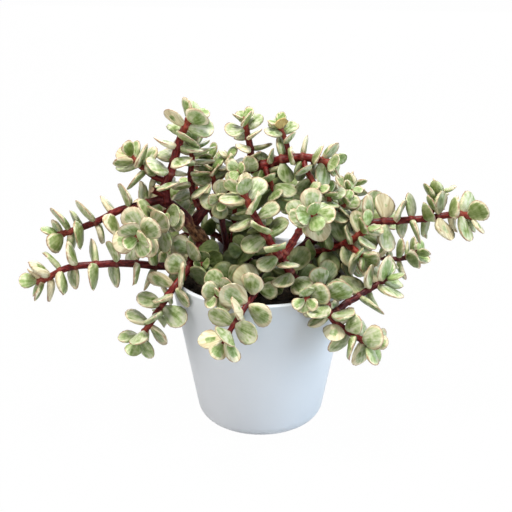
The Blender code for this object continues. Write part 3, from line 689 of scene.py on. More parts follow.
# %% Leafy shoots, left to right at the front, then the back
SHOOTS = [
    Shoot("upper_left_long", "left_limb", (6.2, 4.6), [
        (-68, -8, 171), (-84, -10, 167), (-98, -12, 164), (-110, -13, 158), (-122, -14, 153),
        (-137, -15, 148), (-143, -15, 146)], leafy=72, turn=80, light=0.15, leaf=20, space=13),
    Shoot("upper_left_upright", "left_limb", (7.4, 5.3), [
        (-66, -8, 168), (-66, -8, 180), (-61, -6, 194), (-57, -4, 208), (-53, -3, 219),
        (-47, -2, 230)], leafy=58, turn=20, light=0.2, leaf=20, space=9.5),
    Shoot("cut_stub", "upper_left_upright", (4.4, 4.8), [
        (-66, -8, 174), (-71, -12, 177), (-75, -15, 180)]),
    Shoot("far_left_twig", "upper_left_upright", (4.9, 3.8), [
        (-65, -7, 184), (-73, -3, 185), (-82, -1, 191), (-91, 0, 200)],
        leafy=28, turn=60, light=0.3, leaf=19),
    Shoot("left_rosette", "left_limb", (7.4, 5.2), [
        (-55, -6, 158), (-64, -16, 157), (-73, -24, 156), (-80, -34, 156), (-83, -46, 156)],
        leafy=44, leaf=20, turn=30),
    Shoot("left_front_rosette", "left_limb", (4.9, 3.8), [
        (-61, -7, 165), (-65, -16, 164), (-70, -25, 162)], leafy=20, turn=10, leaf=18),
    Shoot("front_left_hanging", "left_limb", (6.4, 4.3), [
        (-41, 1, 135), (-46, -13, 134), (-49, -22, 129), (-53, -29, 123), (-58, -34, 118),
        (-64, -38, 111), (-70, -41, 102), (-76, -44, 93), (-82, -46, 85), (-86, -47, 79)],
        leafy=96, turn=65, leaf=19, light=0.5, space=8),
    Shoot("lower_left_long", "front_left_hanging", (6.2, 4.6), [
        (-50, -24, 127), (-60, -22, 126), (-72, -22, 126), (-84, -26, 129), (-98, -29, 131),
        (-111, -31, 131), (-132, -34, 130), (-147, -36, 123), (-155, -36, 119)],
        leafy=100, turn=70, light=0.15, leaf=20, space=14),
    Shoot("middle_upright", "middle_limb", (5.4, 3.8), [
        (-41, -4, 160), (-46, -2, 169), (-49, 1, 182), (-48, 4, 196), (-46, 6, 208)],
        leafy=44, turn=70, light=0.2, leaf=17),
    Shoot("dark_shoot", "dark_limb", (4.9, 3.8), [
        (-32, 19, 169), (-33, 20, 178), (-35, 20, 186), (-36, 18, 193)], leafy=22, turn=15),
    Shoot("front_left_rosette", "soil", (4.9, 3.8), [
        (-12, -14, 97), (-15, -20, 110), (-20, -36, 119), (-25, -50, 122), (-30, -63, 121)],
        leafy=44, turn=55, leaf=17),
    Shoot("inner_left_rosette", "left_limb", (4.9, 3.8), [
        (-38, 2, 128), (-38, -10, 126), (-39, -20, 127), (-41, -28, 129)],
        leafy=16, leaf=15, turn=20),
    Shoot("front_centre_hanging", "soil", (4.9, 3.8), [
        (2, -7, 97), (2, -16, 109), (1, -32, 117), (-2, -50, 121), (-6, -63, 120), (-12, -73, 115),
        (-18, -80, 108), (-23, -84, 101), (-26, -86, 96)],
        leafy=55, turn=70, leaf=20.5, light=0.4, space=9),
    Shoot("upper_middle_twig", "middle_limb", (4.4, 3.3), [
        (-30, -2, 170), (-33, 2, 180), (-34, 2, 191)], leafy=26, leaf=15, turn=0),
    Shoot("middle_twig", "middle_limb", (4.4, 3.3), [
        (-22, 0, 178), (-21, 4, 185), (-22, 5, 192), (-23, 5, 198)], leafy=18, leaf=13, turn=30),
    Shoot("middle_front_twig", "middle_limb", (4.4, 3.3), [
        (-30, -2, 170), (-29, -9, 172), (-28, -17, 174), (-27, -24, 175)],
        leafy=22, leaf=15, turn=75),
    Shoot("centre_left_twig", "middle_limb", (4.4, 3.3), [
        (-11, 3, 188), (-13, -5, 190), (-15, -12, 192)], leafy=18, leaf=14, turn=50),
    Shoot("centre_upright", "middle_limb", (5.9, 3.8), [
        (-8, 4, 190), (-7, 9, 199), (-8, 11, 206), (-10, 12, 215), (-12, 12, 224)],
        leafy=34, leaf=15, turn=30, light=0.2),
    Shoot("centre_right", "middle_limb", (7.8, 5.4), [
        (-7, 4, 190), (2, 3, 192), (10, 2, 195), (20, 0, 198), (33, -2, 199), (46, -4, 196),
        (51, -5, 195)], leafy=54, leaf=17, turn=60),
    Shoot("centre_right_twig", "centre_right", (3.9, 3.3), [
        (20, 0, 198), (18, 6, 207), (15, 9, 214), (12, 10, 221)], leafy=16, leaf=14, turn=10),
    Shoot("centre_right_side", "centre_right", (4.4, 3.3), [
        (30, -1, 198), (31, -7, 193), (35, -12, 187), (39, -16, 181)], leafy=20, leaf=15, turn=40),
    Shoot("centre_twig", "centre_right", (4.4, 3.3), [
        (3, 3, 192), (5, -5, 187), (8, -12, 181), (12, -18, 175)], leafy=24, turn=30),
    Shoot("front_middle", "soil", (7.4, 4.8), [
        (26, -31, 97), (27, -35, 110), (23, -43, 125), (16, -46, 138), (8, -46, 150),
        (0, -43, 163), (-7, -38, 175), (-13, -33, 187)],
        leafy=88, leaf=19, turn=15, light=0.6),
    Shoot("front_right_rosette", "front_middle", (5.4, 4.3), [
        (14, -46, 142), (20, -44, 150), (25, -42, 158), (30, -42, 168), (34, -48, 174),
        (35, -58, 177)], leafy=30, leaf=20, turn=20),
    Shoot("inner_middle", "soil", (4.9, 3.8), [
        (-3, 5, 97), (-4, 1, 112), (-8, -7, 125), (-12, -14, 136)],
        leafy=20, turn=35, leaf=18, light=0.5),
    Shoot("inner_front", "soil", (4.4, 3.3), [
        (10, -22, 97), (10, -27, 108), (9, -36, 116), (9, -45, 119)], leafy=26, leaf=17, turn=60),
    Shoot("front_right_hanging", "soil", (5.9, 4.3), [
        (36, -26, 97), (38, -34, 110), (40, -45, 121), (43, -55, 121), (45, -61, 112),
        (49, -62, 103), (57, -64, 97), (65, -66, 92), (73, -67, 88), (77, -68, 86)],
        leafy=72, turn=50, leaf=19, light=0.5),
    Shoot("front_right_twig", "front_right_hanging", (4.4, 3.3), [
        (38, -35, 111), (35, -46, 119), (32, -57, 121), (30, -66, 119)],
        leafy=28, leaf=17, turn=5),
    Shoot("right_lower", "front_right_hanging", (5.2, 4), [
        (46, -60, 107), (52, -58, 108), (58, -54, 112), (65, -50, 114), (73, -46, 118),
        (81, -42, 121), (87, -41, 126)], leafy=28, leaf=22, turn=25, light=0.5, space=9),
    Shoot("right_middle", "right_limb", (6.4, 4.8), [
        (16, 12, 111), (26, 2, 118), (36, -8, 129), (50, -14, 137), (60, -18, 142), (69, -20, 149),
        (74, -21, 155)], leafy=46, leaf=18, turn=65),
    Shoot("right_front_rosette", "right_middle", (4.9, 3.8), [
        (59, -18, 142), (65, -27, 140), (70, -36, 138)], leafy=20, leaf=16, turn=55),
    Shoot("inner_right", "soil", (4.9, 3.8), [
        (41, 8, 97), (48, 6, 110), (58, -2, 120), (67, -12, 124)], leafy=34, leaf=17, turn=20),
    Shoot("right_twig", "right_limb", (4.4, 3.3), [
        (52, 0, 144), (54, -2, 154), (57, -5, 163), (60, -8, 170)],
        leafy=26, leaf=13, turn=35, light=0.2),
    Shoot("right_upper", "right_limb", (4.4, 3.3), [
        (30, 7, 128), (38, 11, 140), (48, 13, 150), (58, 14, 160), (65, 14, 170)],
        leafy=36, leaf=14, turn=80, light=0.25),
    Shoot("right_long", "right_limb", (6.2, 4.6), [
        (58, -2, 147), (72, -5, 151), (83, -6, 153), (101, -8, 155), (118, -9, 157),
        (133, -10, 160), (141, -10, 160), (149, -10, 158)],
        leafy=88, leaf=20, turn=45, light=0.5, space=9.5),
    Shoot("right_long_side", "right_long", (3.9, 3.3), [
        (118, -9, 157), (121, -6, 163), (124, -3, 169), (127, 0, 175)],
        leafy=20, leaf=16, turn=20, light=0.2),
    Shoot("right_high_twig", "right_limb", (4.4, 3.3), [
        (38, 4, 135), (44, -4, 150), (47, -9, 164), (48, -12, 177)], leafy=44, leaf=15, turn=60),
    Shoot("right_back_twig", "right_limb", (4.9, 3.8), [
        (44, 2, 140), (56, 12, 131), (73, 21, 119), (92, 24, 113), (106, 25, 113), (116, 25, 118)],
        leafy=50, leaf=17, turn=20),
    Shoot("left_back_side", "left_limb", (4.9, 3.8), [
        (-51, -4, 152), (-62, 10, 152), (-72, 24, 148), (-80, 38, 142), (-84, 48, 136)],
        leafy=52, turn=45),
    Shoot("right_back_side", "right_limb", (4.9, 3.8), [
        (50, 0, 143), (66, 18, 148), (78, 32, 146), (88, 46, 140), (94, 56, 133)],
        leafy=56, turn=10),
    Shoot("back_middle", "back_left_limb", (4.4, 3.3), [
        (-20, 41, 112), (-10, 46, 130), (-4, 50, 144), (-2, 52, 158)], leafy=44, turn=55),
    Shoot("back_left_low", "back_left_limb", (5.4, 3.8), [
        (-39, 65, 141), (-54, 76, 144), (-68, 84, 140), (-80, 90, 132), (-88, 94, 124)],
        leafy=58, turn=30),
    Shoot("back_left_high", "back_left_limb", (4.9, 3.8), [
        (-31, 53, 130), (-42, 58, 148), (-52, 58, 160)], leafy=34, turn=75),
    Shoot("back_left_hanging", "back_left_limb", (4.9, 3.8), [
        (-19, 39, 110), (-32, 47, 122), (-46, 53, 123), (-57, 58, 119), (-68, 64, 110),
        (-76, 68, 100)], leafy=62, turn=60),
    Shoot("back_left_upright", "back_left_limb", (4.4, 3.3), [
        (-21, 42, 114), (-20, 38, 132), (-19, 37, 146), (-20, 37, 158)], leafy=38, turn=15),
    Shoot("back_high", "back_limb", (4.9, 3.8), [
        (2, 69, 145), (1, 80, 153), (-1, 92, 156)], leafy=24, turn=50),
    Shoot("back_long", "back_limb", (5.4, 3.8), [
        (6, 56, 132), (12, 76, 141), (18, 96, 141), (22, 112, 134), (24, 124, 124)],
        leafy=72, turn=20),
    Shoot("back_hanging", "back_limb", (4.9, 3.8), [
        (7, 43, 113), (2, 58, 122), (-4, 68, 121), (-9, 78, 113), (-13, 87, 102), (-16, 93, 91)],
        leafy=60, turn=85),
    Shoot("back_right_high", "back_right_limb", (4.9, 3.8), [
        (55, 53, 139), (64, 60, 150), (71, 64, 158)], leafy=22, turn=10),
    Shoot("back_right_long", "back_right_limb", (5.4, 3.8), [
        (50, 49, 134), (56, 66, 138), (60, 82, 136), (62, 96, 129), (61, 108, 119)],
        leafy=66, turn=70),
    Shoot("back_right_hanging", "back_right_limb", (4.9, 3.8), [
        (33, 34, 112), (42, 48, 122), (50, 60, 121), (58, 68, 114), (64, 74, 104), (68, 78, 95)],
        leafy=60, turn=35),
]
print(len(SHOOTS), "shoots")

# %% [markdown]
# ## Smooth stems
# A real stem has no corners: it bends smoothly through its route's points. A Bezier curve could
# do that, but the stems and their leaves have to lie where the CAD model has them, so the sums
# here are the CAD model's. A `Stem` knows, at each distance from its root, the point it passes,
# where it aims, which way is out to its side, and its radius.

# %% Smooth a route
CURVE_STEP = 2 * MM


def smooth_route(points):
    """A smooth curve through the route's own points, and where on it those points are."""
    ends = [2 * points[0] - points[1], *points, 2 * points[-1] - points[-2]]
    curve = []
    knots = []
    for before, start, end, after in zip(ends, ends[1:], ends[2:], ends[3:]):
        knots.append(len(curve))
        count = max(1, round((end - start).length / CURVE_STEP))
        for i in range(count):
            t = i / count
            curve.append(0.5 * (
                2 * start + (end - before) * t
                + (2 * before - 5 * start + 4 * end - after) * t * t
                + (3 * start - before - 3 * end + after) * t ** 3))
    knots.append(len(curve))
    curve.append(points[-1].copy())
    return curve, knots


smoothed = smooth_route(SHOOTS[0].route)[0]
print(len(SHOOTS[0].route), "points of the first shoot became", len(smoothed))

# %% Describe a stem
LONGEST_SPAN = 9 * MM
NEARLY_UPRIGHT = 0.1


def tube_faces(rings, sides):
    """The faces of a closed tube whose corners are listed ring by ring."""
    faces = [tuple(reversed(range(sides)))]
    for i in range(rings - 1):
        for k in range(sides):
            a = i * sides + k
            b = i * sides + (k + 1) % sides
            faces.append((a, b, b + sides, a + sides))
    faces.append(tuple(range((rings - 1) * sides, rings * sides)))
    return faces


class Stem:
    """A curve with a thickness and a frame at each point, so leaves know which way is out."""

    def __init__(self, route, radii):
        self.curve, knots = smooth_route(route)
        self.far = [0.0]
        for start, end in zip(self.curve, self.curve[1:]):
            self.far.append(self.far[-1] + (end - start).length)
        self.knots = [self.far[knot] for knot in knots]
        self.length = self.far[-1]
        self.radii = radii
        curve = self.curve
        self.aims = []
        for i in range(len(curve)):
            ahead = curve[min(i + 1, len(curve) - 1)] - curve[max(i - 1, 0)]
            self.aims.append(ahead.normalized())
        side = self.aims[0].cross(Vector((0, 0, 1)))
        if side.length < NEARLY_UPRIGHT:
            side = Vector((1, 0, 0))
        self.sides = []
        for aim in self.aims:
            side = (side - side.dot(aim) * aim).normalized()
            self.sides.append(side)

    def at(self, distance):
        """The point, aim, side and radius at a distance from the root."""
        distance = min(max(distance, 0.0), self.length)
        i = 0
        while i < len(self.far) - 2 and self.far[i + 1] < distance:
            i += 1
        t = (distance - self.far[i]) / (self.far[i + 1] - self.far[i])
        radius = self.radii[0] + (self.radii[1] - self.radii[0]) * distance / self.length
        return (
            self.curve[i].lerp(self.curve[i + 1], t),
            self.aims[i].lerp(self.aims[i + 1], t).normalized(),
            self.sides[i].lerp(self.sides[i + 1], t).normalized(),
            radius,
        )

    def ring(self, distance, sides):
        """The corners of a ring round the stem at a distance from the root."""
        point, aim, side, radius = self.at(distance)
        across = aim.cross(side)
        turns = [2 * math.pi * k / sides for k in range(sides)]
        return [point + radius * (math.cos(turn) * side + math.sin(turn) * across)
                for turn in turns]

    def tube(self, sides, start=0.0):
        """Corners and faces of the plain closed tube that leaves keep clear of."""
        stops = [start]
        for knot in self.knots:
            if knot > start + self.radii[1]:
                spans = math.ceil((knot - stops[-1]) / LONGEST_SPAN)
                base = stops[-1]
                stops.extend(base + (knot - base) * k / spans for k in range(1, spans + 1))
        points = [corner for stop in stops for corner in self.ring(stop, sides)]
        return points, tube_faces(len(stops), sides)


first = Stem(SHOOTS[0].route, SHOOTS[0].radii)
print("the first shoot is", round(first.length / MM), "mm long")

# %% Trim each stem clear of its parent
TRIM_STEP = 0.2 * MM
GAP = 0.3 * MM
LIMB_SIDES = 8
STEM_SIDES = 5


def tree_of(points, faces):
    """A search tree of a mesh, which finds what is near and what overlaps."""
    return BVHTree.FromPolygons(points, faces)


def clear_start(stem, sides, parent_tree):
    """How far along its route a stem first stands clear of what it grows from."""
    start = 0.0
    while start < stem.length / 2:
        corners = [*stem.ring(start, sides), stem.at(start)[0]]
        apart = min(parent_tree.find_nearest(corner)[3] for corner in corners)
        if apart >= GAP and not tree_of(*stem.tube(sides, start)).overlap(parent_tree):
            return start
        start += TRIM_STEP
    return start


stems = {}
starts = {}
tubes = {}
for shoot in [*LIMBS, *SHOOTS]:
    sides = LIMB_SIDES if shoot in LIMBS else STEM_SIDES
    stem = Stem(shoot.route, shoot.radii)
    start = 0.0
    if shoot.parent != "soil":
        start = clear_start(stem, sides, tree_of(*tubes[shoot.parent]))
    stems[shoot.name] = stem
    starts[shoot.name] = start
    tubes[shoot.name] = stem.tube(sides, start)
print("longest stem", round(max(s.length for s in stems.values()) / MM), "mm")

# %% [markdown]
# ## Where the leaves grow
# Leaves grow in opposite pairs, and each pair is turned a quarter turn from the next. Near a tip
# the pairs are close together and the leaves are small and point forward. Further back they
# spread. A fleshy leaf also turns its upper face to the light. Leaves could be scattered as
# instances, but many would then cut through a stem, the pot or each other. The rule below is the
# CAD model's: it tries each leaf a little turned or smaller until it touches nothing.

# %% Set out a shoot's pairs of leaves
FIRST_PAIR = 1.5 * MM
FIRST_SPACE = 3.2 * MM
SPACE_GROWTH = 0.19
YOUNG_LEAF = 0.68
LEAF_GROWTH = 0.16
LEAF_TO_ROOT = 2 * MM
YOUNG_SPREAD = math.radians(44)
SPREAD_GROWTH = math.radians(11)
WIDEST_SPREAD = math.radians(80)


def leaf_places(shoot, stem, start):
    """Where each leaf grows: distance from the root, turn about the stem, spread and length."""
    places = []
    back = FIRST_PAIR
    space = FIRST_SPACE
    pair = 0
    while back < shoot.leafy and stem.length - back > start + LEAF_TO_ROOT:
        size = min(1.0, YOUNG_LEAF + LEAF_GROWTH * pair)
        spread = min(WIDEST_SPREAD, YOUNG_SPREAD + SPREAD_GROWTH * pair)
        for half in (0, 1):
            around = shoot.turn + math.pi / 2 * pair + math.pi * half
            places.append((stem.length - back, around, spread, shoot.leaf * size))
        back += space
        space = min(shoot.space, space + SPACE_GROWTH * shoot.space)
        pair += 1
    return places


print("the first shoot has", len(leaf_places(SHOOTS[0], first, 0)), "leaf places")

# %% Turn a leaf to the light
LEAF_ROOT = 0.2
LIGHT_RISE = 0.75
GROWTH_CENTRE = Vector((0, 55 * MM, 0))
NO_LENGTH = 1e-6


def leaf_matrix(stem, distance, around, spread, twist, pull):
    """The leaf's own frame: X along the leaf, Y across it, Z out of its upper face."""
    point, aim, side, radius = stem.at(distance)
    out = Quaternion(aim, around) @ side
    point = point + LEAF_ROOT * radius * out
    along = aim * math.cos(spread) + out * math.sin(spread)
    face = aim * math.sin(spread) - out * math.cos(spread)
    light = point - GROWTH_CENTRE
    light.z = 0
    light = light.normalized() + Vector((0, 0, LIGHT_RISE))
    light -= light.dot(along) * along
    if face.dot(light) < 0:
        face = -face
    face = face.lerp(light.normalized(), pull)
    across = face.cross(along)
    if across.length < NO_LENGTH:
        across = aim.cross(along)
    across = Quaternion(along, twist) @ across.normalized()
    face = along.cross(across).normalized()
    matrix = Matrix((along, across, face)).transposed().to_4x4()
    matrix.translation = point
    return matrix


print("leaves face outwards from", [round(x / MM) for x in GROWTH_CENTRE], "mm, and upwards")

# %% Give each leaf its room
LEAF_WIDTH = 0.88
LEAF_BELLY = 0.58
LEAF_BLUNTNESS = 0.38
LEAF_THICKNESS = 3.2 * MM
LEAF_OUTER = 0.35


def leaf_space(matrix, length, grow=1.0, root=0.0):
    """The plain thick leaf that stands for a leaf's space: seven corners and ten faces."""
    wide = length * LEAF_WIDTH / 2 * grow
    thick = LEAF_THICKNESS / 2 * grow
    tip = length * (1 + grow) / 2
    edge = [
        (root * length, 0), (LEAF_BELLY * length, wide), (tip, LEAF_BLUNTNESS * wide),
        (tip, -LEAF_BLUNTNESS * wide), (LEAF_BELLY * length, -wide)]
    corners = [(x, y, 0) for x, y in edge]
    corners += [(LEAF_BELLY * length, 0, thick), (LEAF_BELLY * length, 0, -thick)]
    upper = len(edge)
    faces = []
    for k in range(upper):
        following = (k + 1) % upper
        faces.append((k, following, upper + 1))
        faces.append((following, k, upper))
    return [matrix @ Vector(corner) for corner in corners], [tuple(reversed(f)) for f in faces]


class Obstacle:
    """A solid that leaves keep clear of. A leaf's own shoot minds only its outer part."""

    def __init__(self, owner, shape, outer=None):
        self.owner = owner
        self.tree = tree_of(*shape)
        self.outer = tree_of(*outer) if outer else self.tree
        self.low = [min(point[i] for point in shape[0]) for i in range(3)]
        self.high = [max(point[i] for point in shape[0]) for i in range(3)]

    def clashes(self, other):
        """True where this obstacle cuts another one."""
        for i in range(3):
            if self.low[i] > other.high[i] or self.high[i] < other.low[i]:
                return False
        if self.owner == other.owner:
            return bool(self.outer.overlap(other.outer))
        return bool(self.tree.overlap(other.tree))


def leaf_obstacle(owner, matrix, length, grow=1.0):
    """The obstacle that one leaf is to the others."""
    full = leaf_space(matrix, length, grow)
    return Obstacle(owner, full, leaf_space(matrix, length, grow, root=LEAF_OUTER))


def in_pot_or_soil(point):
    """True inside the pot's outer shape below its rim, where only soil and stems belong."""
    beside = math.hypot(point.x, point.y)
    outer = FOOT_RADIUS + (RIM_RADIUS - FOOT_RADIUS) * point.z / POT_HEIGHT
    return point.z < POT_HEIGHT + GAP and beside < outer + GAP


print("a leaf's room is", LEAF_WIDTH, "as wide as it is long")

# %% Place the leaves
TURN_DRIFT = 12
SPREAD_DRIFT = 8
LEAF_TWIST = 28
SHORTEST = 0.9
LONGEST = 1.08
CLEARANCE = 1.05
TRIES = [
    (turn, lean, size)
    for size in (1.0, 0.85, 0.7)
    for lean in (0, -14, 14)
    for turn in (0, 15, -15, 30, -30)
]


def leaves_of(shoot, seed, obstacles):
    """The place, length and pair of each leaf that a shoot has room for."""
    draw = random.Random(seed)
    stem = stems[shoot.name]
    grown = []
    places = leaf_places(shoot, stem, starts[shoot.name])
    for count, (distance, around, spread, length) in enumerate(places):
        around += math.radians(draw.uniform(-TURN_DRIFT, TURN_DRIFT))
        spread += math.radians(draw.uniform(-SPREAD_DRIFT, SPREAD_DRIFT))
        twist = math.radians(draw.uniform(-LEAF_TWIST, LEAF_TWIST))
        length *= draw.uniform(SHORTEST, LONGEST)
        for turn, lean, size in TRIES:
            matrix = leaf_matrix(
                stem, distance, around + math.radians(turn), spread + math.radians(lean), twist,
                shoot.light)
            trial = leaf_obstacle(shoot.name, matrix, length * size, CLEARANCE)
            corners = leaf_space(matrix, length * size, CLEARANCE)[0][1:]
            if any(in_pot_or_soil(corner) for corner in corners):
                continue
            if not any(trial.clashes(other) for other in obstacles):
                grown.append((matrix, length * size, count // 2))
                obstacles.append(leaf_obstacle(shoot.name, matrix, length * size))
                break
    return grown


cad_pot = frame["nodes"]["pot"].data
pot_shape = (
    [v.co.copy() for v in cad_pot.vertices], [tuple(f.vertices) for f in cad_pot.polygons])
obstacles = [Obstacle("pot", pot_shape)]
obstacles += [Obstacle(name + " stem", shape) for name, shape in tubes.items()]
leaves = {}
for seed, shoot in enumerate(SHOOTS):
    others = [thing for thing in obstacles if thing.owner != shoot.name + " stem"]
    before = len(others)
    leaves[shoot.name] = leaves_of(shoot, seed, others)
    obstacles.extend(others[before:])
print(sum(len(found) for found in leaves.values()), "leaves placed")

# %% [markdown]
# ## Leaf forms
# A leaf of this plant is a fleshy egg shape with its narrow end at the stem. It could be carved
# from a cube, but a sphere already has a root, a tip and rings between them. So each form starts
# as a small sphere lying along X, and each of its rings is resized to the leaf's width and
# thickness there. Five forms are made: flat, cupped, round, long and folded. Each leaf on the
# plant is a copy of one of them.

# %% Model five leaf forms
LEAF_RINGS = 8
LEAF_SEGMENTS = 8
WIDTHS = [0.12, 0.37, 0.69, 0.94, 1.0, 0.79, 0.44]
THICKNESSES = [0.9, 1.28, 1.34, 1.14, 0.86, 0.56, 0.3]
NEAR_RING = 0.01
SHOULDER = 1.13
OFF_THE_MIDDLE = 0.1
AT_THE_EDGE = 0.9
MAP_HALF_WIDTH = 0.41


def model_leaf(name, wide, thick, cup, arch, widths=WIDTHS):
    """A leaf one unit long, lying along X with its upper face up."""
    deselect()
    bpy.ops.mesh.primitive_uv_sphere_add(
        segments=LEAF_SEGMENTS, ring_count=LEAF_RINGS, radius=0.5, location=(0.5, 0, 0),
        rotation=(0, math.pi / 2, 0))
    leaf = bpy.context.object
    leaf.name = name
    bpy.ops.object.transform_apply(location=True, rotation=True)
    start_editing(leaf)
    for i in range(1, LEAF_RINGS):
        turn = math.pi * i / LEAF_RINGS
        place = 0.5 - 0.5 * math.cos(turn)
        radius = 0.5 * math.sin(turn)
        width = wide * widths[i - 1]

        def on_ring(co):
            return abs(co.x - place) < NEAR_RING

        def on_shoulder(co):
            high = abs(co.z) > OFF_THE_MIDDLE * thick
            return on_ring(co) and high and abs(co.y) > OFF_THE_MIDDLE * width

        pick(leaf, on_ring)
        bpy.ops.transform.resize(
            value=(1, width / radius, thick * THICKNESSES[i - 1] / radius),
            center_override=(place, 0, 0))
        pick(leaf, on_shoulder)
        bpy.ops.transform.resize(value=(1, SHOULDER, 1), center_override=(place, 0, 0))
        pick(leaf, lambda co: on_ring(co) and abs(co.y) > AT_THE_EDGE * width)
        bpy.ops.transform.translate(value=(0, 0, cup * widths[i - 1]))
        pick(leaf, on_ring)
        bpy.ops.transform.translate(value=(0, 0, arch * math.sin(math.pi * place)))
    bpy.ops.mesh.select_all(action="SELECT")
    bpy.ops.mesh.normals_make_consistent(inside=False)
    bpy.ops.object.mode_set(mode="OBJECT")
    bpy.ops.object.shade_smooth()
    spread = leaf.data.uv_layers[0]
    scale = MAP_HALF_WIDTH / wide
    for loop in leaf.data.loops:
        place = leaf.data.vertices[loop.vertex_index].co
        spread.data[loop.index].uv = (place.x, 0.5 + scale * place.y)
    under = leaf.data.attributes.new("leaf_under", "FLOAT", "POINT")
    for corner in leaf.data.vertices:
        under.data[corner.index].value = max(0.0, -corner.normal.z)
    return leaf


forms = [
    model_leaf("flat_leaf", 0.44, 0.094, 0.02, 0.01),
    model_leaf("cupped_leaf", 0.45, 0.09, 0.07, -0.04),
    model_leaf("round_leaf", 0.49, 0.098, 0.0, 0.03, [0.16, 0.5, 0.82, 1.0, 0.99, 0.78, 0.45]),
    model_leaf("long_leaf", 0.39, 0.096, 0.05, -0.03, [0.16, 0.40, 0.68, 0.91, 1.0, 0.84, 0.48]),
    model_leaf("folded_leaf", 0.43, 0.088, 0.13, -0.06, [0.16, 0.48, 0.80, 1.0, 0.95, 0.69, 0.34]),
]
print("each leaf form has", len(forms[0].data.polygons), "faces")

# %% [markdown]
# ## The leaf's finish
# A variegated leaf is soft green in the middle, in streaks that fan out from its root, and cream
# at its edge, with a thin pink line on the rim. The border between green and cream wanders. A
# picture of a leaf could be wrapped round each one, but all the leaves would then be twins, so
# the pattern is made of noises. It follows each leaf through its UV map: U runs from root to tip
# and V across. Each leaf also carries numbers of its own: a seed that shifts the pattern, its
# age, how cream it is and how deep in the crown it stands, which darkens it with painted shade.
# Each corner tells how far it faces down, where it's greener and, as painted shade, darker.

# %% Read what each leaf carries
leaf_skin, tree, shader = new_finish("variegated_leaf", roughness=0.4, specular=0.28)
spread = tree.nodes.new("ShaderNodeUVMap")
spread.uv_map = "UVMap"
parts = tree.nodes.new("ShaderNodeSeparateXYZ")
feed(tree, parts.inputs[0], spread.outputs["UV"])
u, v = parts.outputs[0], parts.outputs[1]
seed = attribute(tree, "leaf_seed")
age = attribute(tree, "leaf_age")
creamy = attribute(tree, "leaf_cream")
crown_painted_shade = attribute(tree, "leaf_shade")
under = attribute(tree, "leaf_under")
print("the leaf skin reads its UV map and five attributes")

# %% Draw the leaf's pattern
LEAF_HEART = 0.58
HEART_TO_ROOT = 0.6
LENGTHWISE_POWER = 2.2
SEED_SHIFT = 60.0
BLOTCH_SCALE = 4.0
FAN_CENTRE = 0.28
STREAKS_ACROSS = 9.0
STREAKS_ALONG = 1.5
BLOTCH_WANDER = 0.45
STREAK_WANDER = 0.5
GREENER_UNDER = -0.14


def egg_distance(tree, u, v):
    """0 at the heart of the leaf and 1 all along its rim."""
    from_heart = calc(tree, "SUBTRACT", u, LEAF_HEART)
    to_tip = calc(tree, "DIVIDE", from_heart, 1 - LEAF_HEART)
    to_root = calc(tree, "DIVIDE", from_heart, -HEART_TO_ROOT)
    lengthwise = calc(tree, "POWER", calc(tree, "MAXIMUM", to_tip, to_root), LENGTHWISE_POWER)
    sideways = calc(tree, "DIVIDE", calc(tree, "SUBTRACT", v, 0.5), MAP_HALF_WIDTH)
    sideways = calc(tree, "POWER", calc(tree, "ABSOLUTE", sideways), 2.0)
    return calc(tree, "SQRT", calc(tree, "ADD", lengthwise, sideways))


def swing(tree, value, amount):
    """A noise made to swing about zero by an amount."""
    return calc(tree, "MULTIPLY", calc(tree, "SUBTRACT", value, 0.5), amount)


rim_distance = egg_distance(tree, u, v)
shift = calc(tree, "MULTIPLY", seed, SEED_SHIFT)
blotches = noise(tree, vector_of(
    tree, calc(tree, "MULTIPLY", u, BLOTCH_SCALE), calc(tree, "MULTIPLY", v, BLOTCH_SCALE),
    shift), scale=1.0, detail=2.0)
fan = calc(tree, "DIVIDE", calc(tree, "SUBTRACT", v, 0.5), calc(tree, "ADD", u, FAN_CENTRE))
streaks = noise(tree, vector_of(
    tree, calc(tree, "MULTIPLY", fan, STREAKS_ACROSS), calc(tree, "MULTIPLY", u, STREAKS_ALONG),
    shift), scale=1.0, detail=3.0)
wander = calc(
    tree, "ADD", swing(tree, blotches, BLOTCH_WANDER), swing(tree, streaks, STREAK_WANDER))
margin = calc(tree, "ADD", calc(tree, "ADD", rim_distance, wander), creamy)
margin = calc(tree, "MULTIPLY_ADD", under, GREENER_UNDER, margin)
print("leaf pattern ready")

# %% Mix the leaf's greens
UNDER_SHADE_DEPTH = 0.75

greens = calc(tree, "ADD", calc(tree, "MULTIPLY", blotches, 0.55),
              calc(tree, "MULTIPLY", streaks, 0.45))
paler_outwards = calc(tree, "MULTIPLY_ADD", rim_distance, 0.12, -0.08)
each_own = calc(tree, "MULTIPLY", seed, 0.05)
greens = calc(tree, "ADD", greens, calc(tree, "ADD", paler_outwards, each_own))
grown_green = ramp(tree, greens, [
    (0.35, 0.12, 0.17, 0.035), (0.43, 0.23, 0.295, 0.115), (0.51, 0.385, 0.425, 0.24),
    (0.60, 0.54, 0.53, 0.40)])
young_green = ramp(tree, greens, [
    (0.36, 0.14, 0.22, 0.045), (0.50, 0.27, 0.35, 0.13), (0.65, 0.47, 0.495, 0.30)])
green = mixed(tree, soft_step(tree, age, 0.55, 0.05), grown_green, young_green)
# Where a leaf faces down it is a plainer green, and darker as painted shade.
under_green_and_shade = ramp(tree, greens, [(0.36, 0.09, 0.13, 0.016), (0.66, 0.27, 0.315, 0.10)])
green = mixed(tree, calc(tree, "MULTIPLY", under, UNDER_SHADE_DEPTH), green, under_green_and_shade)
print("greens mixed")

# %% Add the cream edge and the pink rim
PALE_GREEN = (0.44, 0.47, 0.245, 1)
PINK_BROWN = (0.27, 0.115, 0.07, 1)
RIM_DEPTH = 0.75

